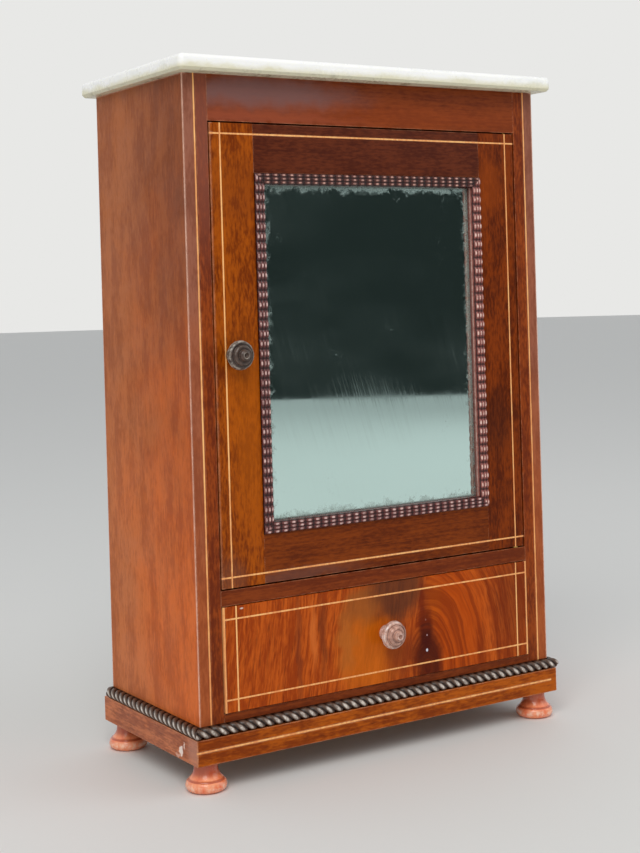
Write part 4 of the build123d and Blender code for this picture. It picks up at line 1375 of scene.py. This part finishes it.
@dataclass
class RopeMoulding:
    """Twisted rope moulding round the foot of the case, mitred at the front corners."""

    height: float = 6.8 * MM
    reach: float = 5.8 * MM
    pitch: float = 6.45 * MM
    groove: float = 1.35 * MM
    turns_over_face: float = 1.3
    strand_share: float = 0.88
    side_shade: float = 0.2
    side_shade_turn: float = 1.8
    steps_per_strand: int = 12
    steps_round: int = 22

    def bar(self, name: str, length: float, hand: int) -> Piece:
        """Make a straight stretch along X, its back in the plane y = 0 and its underside at z = 0.

        Args:
            name: name of the piece.
            length: length of the stretch, which is centred on x = 0.
            hand: 1 for strands that fall to the right on the face, -1 for the other hand.

        Returns:
            The new object.
        """
        radius = self.height / 2
        axis_y = radius - self.reach
        steps = round(length / self.pitch) * self.steps_per_strand
        rows, crests = [], []
        for i in range(steps + 1):
            x = length * (i / steps - 0.5)
            row, crest = [Vector((x, 0, 0))], [0.0]
            for j in range(self.steps_round + 1):
                turn = math.pi * (j / self.steps_round - 0.5)
                phase = (x / self.pitch + hand * self.turns_over_face * turn / math.pi) % 1.0
                lobe = math.sqrt(max(0.0, 1 - ((2 * phase - 1) / self.strand_share) ** 2))
                r = radius - self.groove * (1 - lobe)
                row.append(Vector((x, axis_y - r * math.cos(turn), radius + r * math.sin(turn))))
                # Painted highlight: the crest value falls off towards the top and bottom of the bar, so the
                # pale crest colour shows as short glints on the face.
                shade = self.side_shade * math.cos(self.side_shade_turn * turn)
                crest.append(lobe * (1 - self.side_shade + shade))
            row.append(Vector((x, 0, self.height)))
            crest.append(0.0)
            rows.append(row)
            crests.append(crest)
        return grid_mesh(name, rows, crests, closed=True)

    def build(self) -> None:
        """Make the front and the two sides in place of the model's plain mouldings."""
        low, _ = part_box("stile_left")
        _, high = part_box("side_panel_right")
        half, front, back = high[0], low[1], high[1]
        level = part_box("rope_moulding_front")[0][2]
        span = 2 * (half + self.reach)
        face = self.bar("rope_front", span, 1)
        face.data.transform(Matrix.Translation((0, front, level)))
        for side in (-1, 1):
            cut(face, Vector((side * half, front, level)), Vector((side, 1, 0)).normalized())
        self.fix(face, "rope_moulding_front")
        depth = back - front + self.reach
        for side, name in ((1, "right"), (-1, "left")):
            piece = self.bar(f"rope_{name}", depth + 2 * self.pitch, -side)
            turn = Matrix.Rotation(side * math.pi / 2, 4, "Z")
            piece.data.transform(Matrix.Translation((side * half, back - depth / 2, level)) @ turn)
            cut(piece, Vector((side * half, front, level)), Vector((-side, -1, 0)).normalized())
            cut(piece, Vector((side * half, back, level)), Vector((0, 1, 0)))
            self.fix(piece, f"rope_moulding_{name}")
        LOG.info("rope moulding: 3 stretches")

    def fix(self, piece: Piece, node: str) -> None:
        """Dress a stretch and let it stand for its node.

        Args:
            piece: the stretch.
            node: the model's node.
        """
        ROPE_WOOD.dress(piece)
        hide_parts(node)
        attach(piece, "cabinet")


@dataclass
class RippleMoulding:
    """Ripple moulding round the mirror: three wavy reeds on a convex bed, and a wall down to the glass."""

    width: float = 7.5 * MM
    deep: float = 6.8 * MM
    fall: float = 0.55 * MM
    reed: float = 2.35 * MM
    reeds: int = 3
    reed_depth: float = 0.85 * MM
    ripple: float = 6.1 * MM
    ripple_depth: float = 0.8 * MM
    ripple_sharpness: float = 1.6
    trough_shade: float = 0.8
    lip: float = 0.5 * MM
    steps_per_ripple: int = 12
    steps_per_reed: int = 8

    def bed(self, across: float) -> float:
        """Depth of the convex bed on which the reeds lie, at a distance across."""
        return self.fall * (2 * across / self.width - 1) ** 2

    def section(self) -> list[tuple[float, float, float, float]]:
        """Section across the moulding, from its outer side to the sight edge.

        Returns:
            For each point: distance across, depth, crest value and share of the ripple that moves it.
        """
        points = [(0.0, self.deep, 0.0, 0.0), (0.0, self.bed(0.0) + self.reed_depth * 1.2, 0.0, 0.4)]
        for i in range(self.reeds):
            for j in range(1, self.steps_per_reed):
                t = 2 * j / self.steps_per_reed - 1
                across = (i + (t + 1) / 2) * self.reed
                round_top = math.sqrt(1 - t * t)
                points.append((across, self.bed(across) + self.reed_depth * (1 - round_top), round_top, 1.0))
            across = (i + 1) * self.reed
            points.append((across, self.bed(across) + self.reed_depth, 0.0, 0.6))
        points.append((self.width, self.bed(self.width) + self.reed_depth + self.lip, 0.4, 0.3))
        # Painted highlight: the wall down to the glass gets a high crest value, so it takes the pale crest
        # colour.
        points.append((self.width, (self.deep + self.fall) / 2, 0.86, 0.0))
        points.append((self.width, self.deep, 0.5, 0.0))
        return points

    def side(self, name: str, length: float) -> Piece:
        """Make one side along X: outer edge at z = 0, sight edge at z = width, crests at y = 0.

        Args:
            name: name of the piece.
            length: length on the outer edge.

        Returns:
            The new object, cut at 45 degrees at both ends.
        """
        section = self.section()
        count = round(length / self.ripple)
        steps = count * self.steps_per_ripple
        rows, crests = [], []
        for i in range(steps + 1):
            x = length * (i / steps - 0.5)
            wave = 0.5 - 0.5 * math.cos(2 * math.pi * count * i / steps)
            swell = (1 - wave) ** self.ripple_sharpness
            rows.append([Vector((x, depth + share * self.ripple_depth * swell, across))
                         for across, depth, _, share in section])
            # Painted shade: the crest value drops in the troughs of the ripple, so the troughs take the
            # hollow colour.
            crests.append([crest * (1 - self.trough_shade * share * swell) for _, _, crest, share in section])
        piece = grid_mesh(name, rows, crests, closed=True)
        for end in (-1, 1):
            cut(piece, Vector((end * length / 2, 0, 0)), Vector((end, 0, 1)).normalized())
        return piece

    def build(self) -> None:
        """Make the four sides in place of the model's plain ones."""
        low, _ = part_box("mirror_moulding_left")
        _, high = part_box("mirror_moulding_right")
        middle = (low[2] + high[2]) / 2
        width, height = high[0] - low[0], high[2] - low[2]
        turns = {"bottom": (width, height, 0), "left": (height, width, 90),
                 "top": (width, height, 180), "right": (height, width, 270)}
        # Painted light: the top and right sides take the shaded and the lit copies of the moulding's finish.
        woods = {"top": RIPPLE_SHADED_TOP_WOOD, "right": RIPPLE_LIT_RIGHT_WOOD}
        for name, (length, across, turn) in turns.items():
            piece = self.side(f"ripple_{name}", length)
            move = Matrix.Rotation(math.radians(turn), 4, "Y") @ Matrix.Translation((0, 0, -across / 2))
            piece.data.transform(Matrix.Translation((0, low[1], middle)) @ move)
            woods.get(name, RIPPLE_WOOD).dress(piece)
            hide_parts(f"mirror_moulding_{name}")
            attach(piece, "door")
        LOG.info("ripple moulding: 4 sides")


@dataclass
class Knob:
    """Turned knob with a flange, a neck, a belled rim, a ring and a dimpled button.

    Its proud and deep places have a radius, a height and a reach in millimetres.
    """

    wood: TurnedWood
    proud: tuple[Point3, ...] = ((9.1, 9.4, 3.5), (5.6, 13.3, 1.8), (1.9, 17.3, 1.2), (8.4, 11.0, 2.6),
                                 (5.2, 0.7, 1.8))
    deep: tuple[Point3, ...] = ((3.4, 4.2, 3.0), (7.0, 12.2, 0.9), (4.1, 14.4, 0.9), (0.0, 16.1, 1.5))

    def outline(self) -> list[Point2]:
        """Outline of radius and height, from the foot of the spindle to the dimple.

        Returns:
            The points, in metres.
        """
        points = [(0.0, -3.0), (2.4, -3.0), (2.4, 0.0), (5.0, 0.0), (5.2, 0.25), (5.2, 1.2), (5.0, 1.5)]
        points += arc((4.6, 1.6), (3.4, 4.2), 0.10, 5) + arc((3.4, 4.2), (5.2, 6.6), 0.14, 5)
        points += arc((5.2, 6.6), (8.9, 8.6), -0.10, 6) + arc((8.9, 8.6), (9.15, 9.6), -0.2, 4)
        points += arc((9.15, 9.6), (7.3, 12.1), -0.14, 7)
        points += [(7.0, 12.15), (6.7, 12.1), (6.5, 12.2)]
        points += arc((6.35, 12.45), (4.5, 14.3), -0.24, 6)
        points += [(4.2, 14.35), (3.9, 14.3), (3.75, 14.45)]
        points += arc((3.6, 14.7), (2.3, 16.9), -0.24, 7)
        points += arc((2.3, 16.9), (1.3, 17.1), -0.5, 6) + [(1.15, 16.7), (1.0, 16.3), (0.0, 16.1)]
        return [(r * MM, h * MM) for r, h in points]

    def crest(self, radius: float, height: float) -> float:
        """Crest value, from the proud and the deep places of radius, height and reach.

        Args:
            radius: distance from the axis.
            height: height over the foot of the knob.

        Returns:
            0 in the neck, the quirks and the dimple, 1 on the rim, the ring and the tip.
        """
        def near(place: Point3) -> float:
            """Distance from a place, in reaches."""
            return math.hypot(radius / MM - place[0], height / MM - place[1]) / place[2]

        proud, deep = min(map(near, self.proud)), min(map(near, self.deep))
        return max(0.0, min(1.0, max(0.5, 1 - proud), deep))

    def build(self, name: str, body: str, node: str, face: str) -> None:
        """Turn a knob and set it on a face.

        Args:
            name: name of the piece.
            body: the body that it rides on.
            node: the model's node that it stands for.
            face: the board on whose front it stands.
        """
        low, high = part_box(node)
        middle = (low + high) / 2
        front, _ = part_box(face)
        piece = lathe(name, self.outline(), self.crest)
        turn = Matrix.Rotation(math.pi / 2, 4, "X")
        piece.data.transform(Matrix.Translation((middle[0], front[1], middle[2])) @ turn)
        self.wood.dress(piece)
        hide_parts(node)
        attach(piece, body)
        LOG.info("%s set on %s", name, body)


@dataclass
class Feet:
    """Four turned feet: a round bead on the floor, a quirk, a cove and a neck.

    The bead and the quirk have a height and a reach in millimetres.
    """

    radius: float = 13.0 * MM
    shank: float = 7.0 * MM
    bead: Point2 = (3.8, 4.0)
    quirk: Point2 = (7.25, 0.8)

    def outline(self) -> list[Point2]:
        """Outline of radius and height, from the sole to the neck.

        Returns:
            The points, in metres.
        """
        points = [(0.0, 0.0), (9.6, 0.0), (10.2, 0.15)]
        points += arc((10.9, 0.5), (12.7, 2.3), -0.10, 5) + arc((12.7, 2.3), (12.7, 4.9), -0.12, 5)
        points += arc((12.7, 4.9), (11.7, 6.7), -0.10, 5)
        points += [(11.5, 6.95), (11.3, 7.05), (11.3, 7.4), (11.0, 7.55)]
        points += arc((10.7, 7.75), (7.6, 15.4), 0.12, 11)
        points += [(7.6, 16.0), (7.6, 18.0), (0.0, 18.0)]
        return [(r * MM, h * MM) for r, h in points]

    def crest(self, radius: float, height: float) -> float:
        """Crest value, from the heights and reaches of the bead and the quirk.

        Args:
            radius: distance from the axis.
            height: height over the floor.

        Returns:
            1 on the bead and 0 in the quirk.
        """
        bead = 1 - abs(height / MM - self.bead[0]) / self.bead[1]
        quirk = max(0.0, 1 - abs(height / MM - self.quirk[0]) / self.quirk[1])
        return max(0.0, min(1.0, 0.5 + 0.5 * bead - quirk)) if radius > self.shank else 0.5

    def build(self) -> None:
        """Turn the four feet in place of the model's."""
        low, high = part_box("turned_feet")
        xs = (low[0] + self.radius, high[0] - self.radius)
        ys = (low[1] + self.radius, high[1] - self.radius)
        for depth, y in zip(("front", "back"), ys):
            for side, x in zip(("left", "right"), xs):
                piece = lathe(f"foot_{depth}_{side}", self.outline(), self.crest)
                piece.data.transform(Matrix.Translation((x, y, 0)))
                FOOT_WOOD.dress(piece)
                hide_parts("turned_feet")
                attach(piece, "cabinet")
        LOG.info("feet: 4 turned")


# ------------------------------------------------------------------------------------------ studio
@dataclass(frozen=True)
class Lamp:
    """A large square lamp: side in metres and power in watts."""

    name: str
    place: Point3
    size: float
    power: float
    colour: Point3

    def hang(self, target: Point3) -> None:
        """Hang the lamp at its place.

        Args:
            target: the point at which it shines.
        """
        data = bpy.data.lights.new(self.name, "AREA")
        data.shape = "SQUARE"
        data.size = self.size
        data.energy = self.power
        data.color = self.colour
        aim = Vector(target) - Vector(self.place)
        turn = aim.to_track_quat("-Z", "Y").to_matrix().to_4x4()
        link(self.name, data).matrix_world = Matrix.Translation(self.place) @ turn


@dataclass
class Studio:
    """Plain pale floor, soft light and the camera.

    The flag is a dark card across the room, in a direction on the floor plan.
    """

    camera_place: Vector = field(default_factory=lambda: Vector((-0.5697, -0.88135, 0.3043)))
    look: Vector = field(default_factory=lambda: Vector((0.53873, 0.84248, -0.00170)))
    up: Vector = field(default_factory=lambda: Vector((0.02507, -0.01401, 0.99959)))
    focal_pixels: float = 1517.4
    image_height: int = 853
    principal_row: float = 295.2
    sensor: float = 36.0
    floor_colour: Colour = srgb(226, 225, 222)
    floor_radius: float = 14.0
    seen_colour: Colour = srgb(232, 232, 230)
    light_colour: Colour = srgb(236, 240, 244)
    light_strength: float = 0.62
    lamp_target: Point3 = (0.0, 0.0, 0.22)
    lamps: tuple[Lamp, ...] = (
        Lamp("key", place=(-1.3, -1.5, 2.1), size=1.6, power=34.0, colour=(1.0, 0.98, 0.95)),
        Lamp("fill", place=(1.7, -1.4, 1.3), size=1.6, power=9.0, colour=(0.95, 0.98, 1.0)))
    flag_colour: Colour = srgb(33, 42, 40)
    flag_way: Point2 = (0.539, -0.842)
    flag_distance: float = 3.4
    flag_half_width: float = 2.6
    flag_height: float = 3.2

    def build(self) -> None:
        """Set up the view, the camera, the floor, the world and the lamps."""
        bpy.context.scene.view_settings.view_transform = "Standard"
        self.build_camera()
        self.build_floor()
        self.build_world()
        for lamp in self.lamps:
            lamp.hang(self.lamp_target)
        self.build_flag()
        LOG.info("studio ready")

    def build_camera(self) -> None:
        """Set the camera at its place, upright, with its view shifted up."""
        data = bpy.data.cameras.new("camera")
        data.sensor_fit = "AUTO"
        data.sensor_width = self.sensor
        data.lens = self.focal_pixels / self.image_height * self.sensor
        data.shift_y = (self.principal_row - self.image_height / 2) / self.image_height
        data.clip_start = 0.05
        data.clip_end = 60.0
        camera = link("camera", data)
        back = -self.look.normalized()
        right = self.up.cross(back).normalized()
        up = back.cross(right)
        turn = Matrix((right, up, back)).transposed().to_4x4()
        camera.matrix_world = Matrix.Translation(self.camera_place) @ turn
        bpy.context.scene.camera = camera

    def stage_piece(self, name: str, mesh: bpy.types.Mesh, finish: str, colour: Colour,
                    rough: float) -> Piece:
        """Put a plain piece of the studio in place.

        Args:
            name: name of the piece.
            mesh: its mesh.
            finish: name of its material.
            colour: its colour.
            rough: its roughness.

        Returns:
            The new object.
        """
        made = bpy.data.materials.new(finish)
        made.use_nodes = True
        shader = made.node_tree.nodes["Principled BSDF"]
        shader.inputs["Base Color"].default_value = colour
        shader.inputs["Roughness"].default_value = rough
        mesh.materials.append(made)
        piece = link(name, mesh)
        return piece

    def build_floor(self) -> None:
        """Lay a round pale floor."""
        work = bmesh.new()
        bmesh.ops.create_circle(work, cap_ends=True, segments=96, radius=self.floor_radius)
        mesh = bpy.data.meshes.new("floor")
        work.to_mesh(mesh)
        work.free()
        self.stage_piece("floor", mesh, "floor_paper", self.floor_colour, rough=0.7)

    def build_world(self) -> None:
        """Light the room softly from all round, and show it pale."""
        world = bpy.data.worlds.new("room")
        world.use_nodes = True
        world.node_tree.nodes.clear()
        tree = Tree(world.node_tree)
        seen = tree.feed_all(tree.add("ShaderNodeBackground"), Color=self.seen_colour)
        lit = tree.feed_all(tree.add("ShaderNodeBackground"), Color=self.light_colour,
                            Strength=self.light_strength)
        rays = tree.add("ShaderNodeLightPath")
        shown = tree.math("MAXIMUM", rays.outputs["Is Camera Ray"], rays.outputs["Is Glossy Ray"])
        shown = tree.math("MAXIMUM", shown, rays.outputs["Is Transmission Ray"])
        both = tree.add("ShaderNodeMixShader")
        for socket, value in zip(both.inputs, (shown, lit.outputs[0], seen.outputs[0])):
            tree.feed(socket, value)
        tree.feed_all(tree.add("ShaderNodeOutputWorld"), Surface=both.outputs[0])
        bpy.context.scene.world = world

    def build_flag(self) -> None:
        """Stand a dark card across the room, which only shows in the shine of glass and polish."""
        x, y = self.flag_way
        middle = Vector((x, y, 0)) * self.flag_distance
        along = Vector((-y, x, 0)) * self.flag_half_width
        rise = Vector((0, 0, self.flag_height))
        points = [middle - along, middle + along, middle + along + rise, middle - along + rise]
        mesh = bpy.data.meshes.new("flag")
        mesh.from_pydata([tuple(point) for point in points], [], [(0, 1, 2, 3)])
        flag = self.stage_piece("flag", mesh, "flag_cloth", self.flag_colour, rough=0.9)
        flag.visible_camera = False
        flag.visible_diffuse = False
        flag.visible_shadow = False


def main() -> None:
    """Load the model, and dress and build its pieces in order."""
    logging.basicConfig(level=logging.INFO, format="%(name)s: %(message)s")
    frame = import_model()
    nodes = frame["nodes"]
    Boards(nodes).build()
    Fittings(nodes).build()
    RopeMoulding().build()
    RippleMoulding().build()
    Feet().build()
    Knob(DOOR_KNOB_WOOD).build("knob_of_door", "latch", "door_knob", "door_stile_left")
    Knob(DRAWER_KNOB_WOOD).build("knob_of_drawer", "drawer", "drawer_knob", "drawer_front")
    Studio().build()


if __name__ == "__main__":
    main()
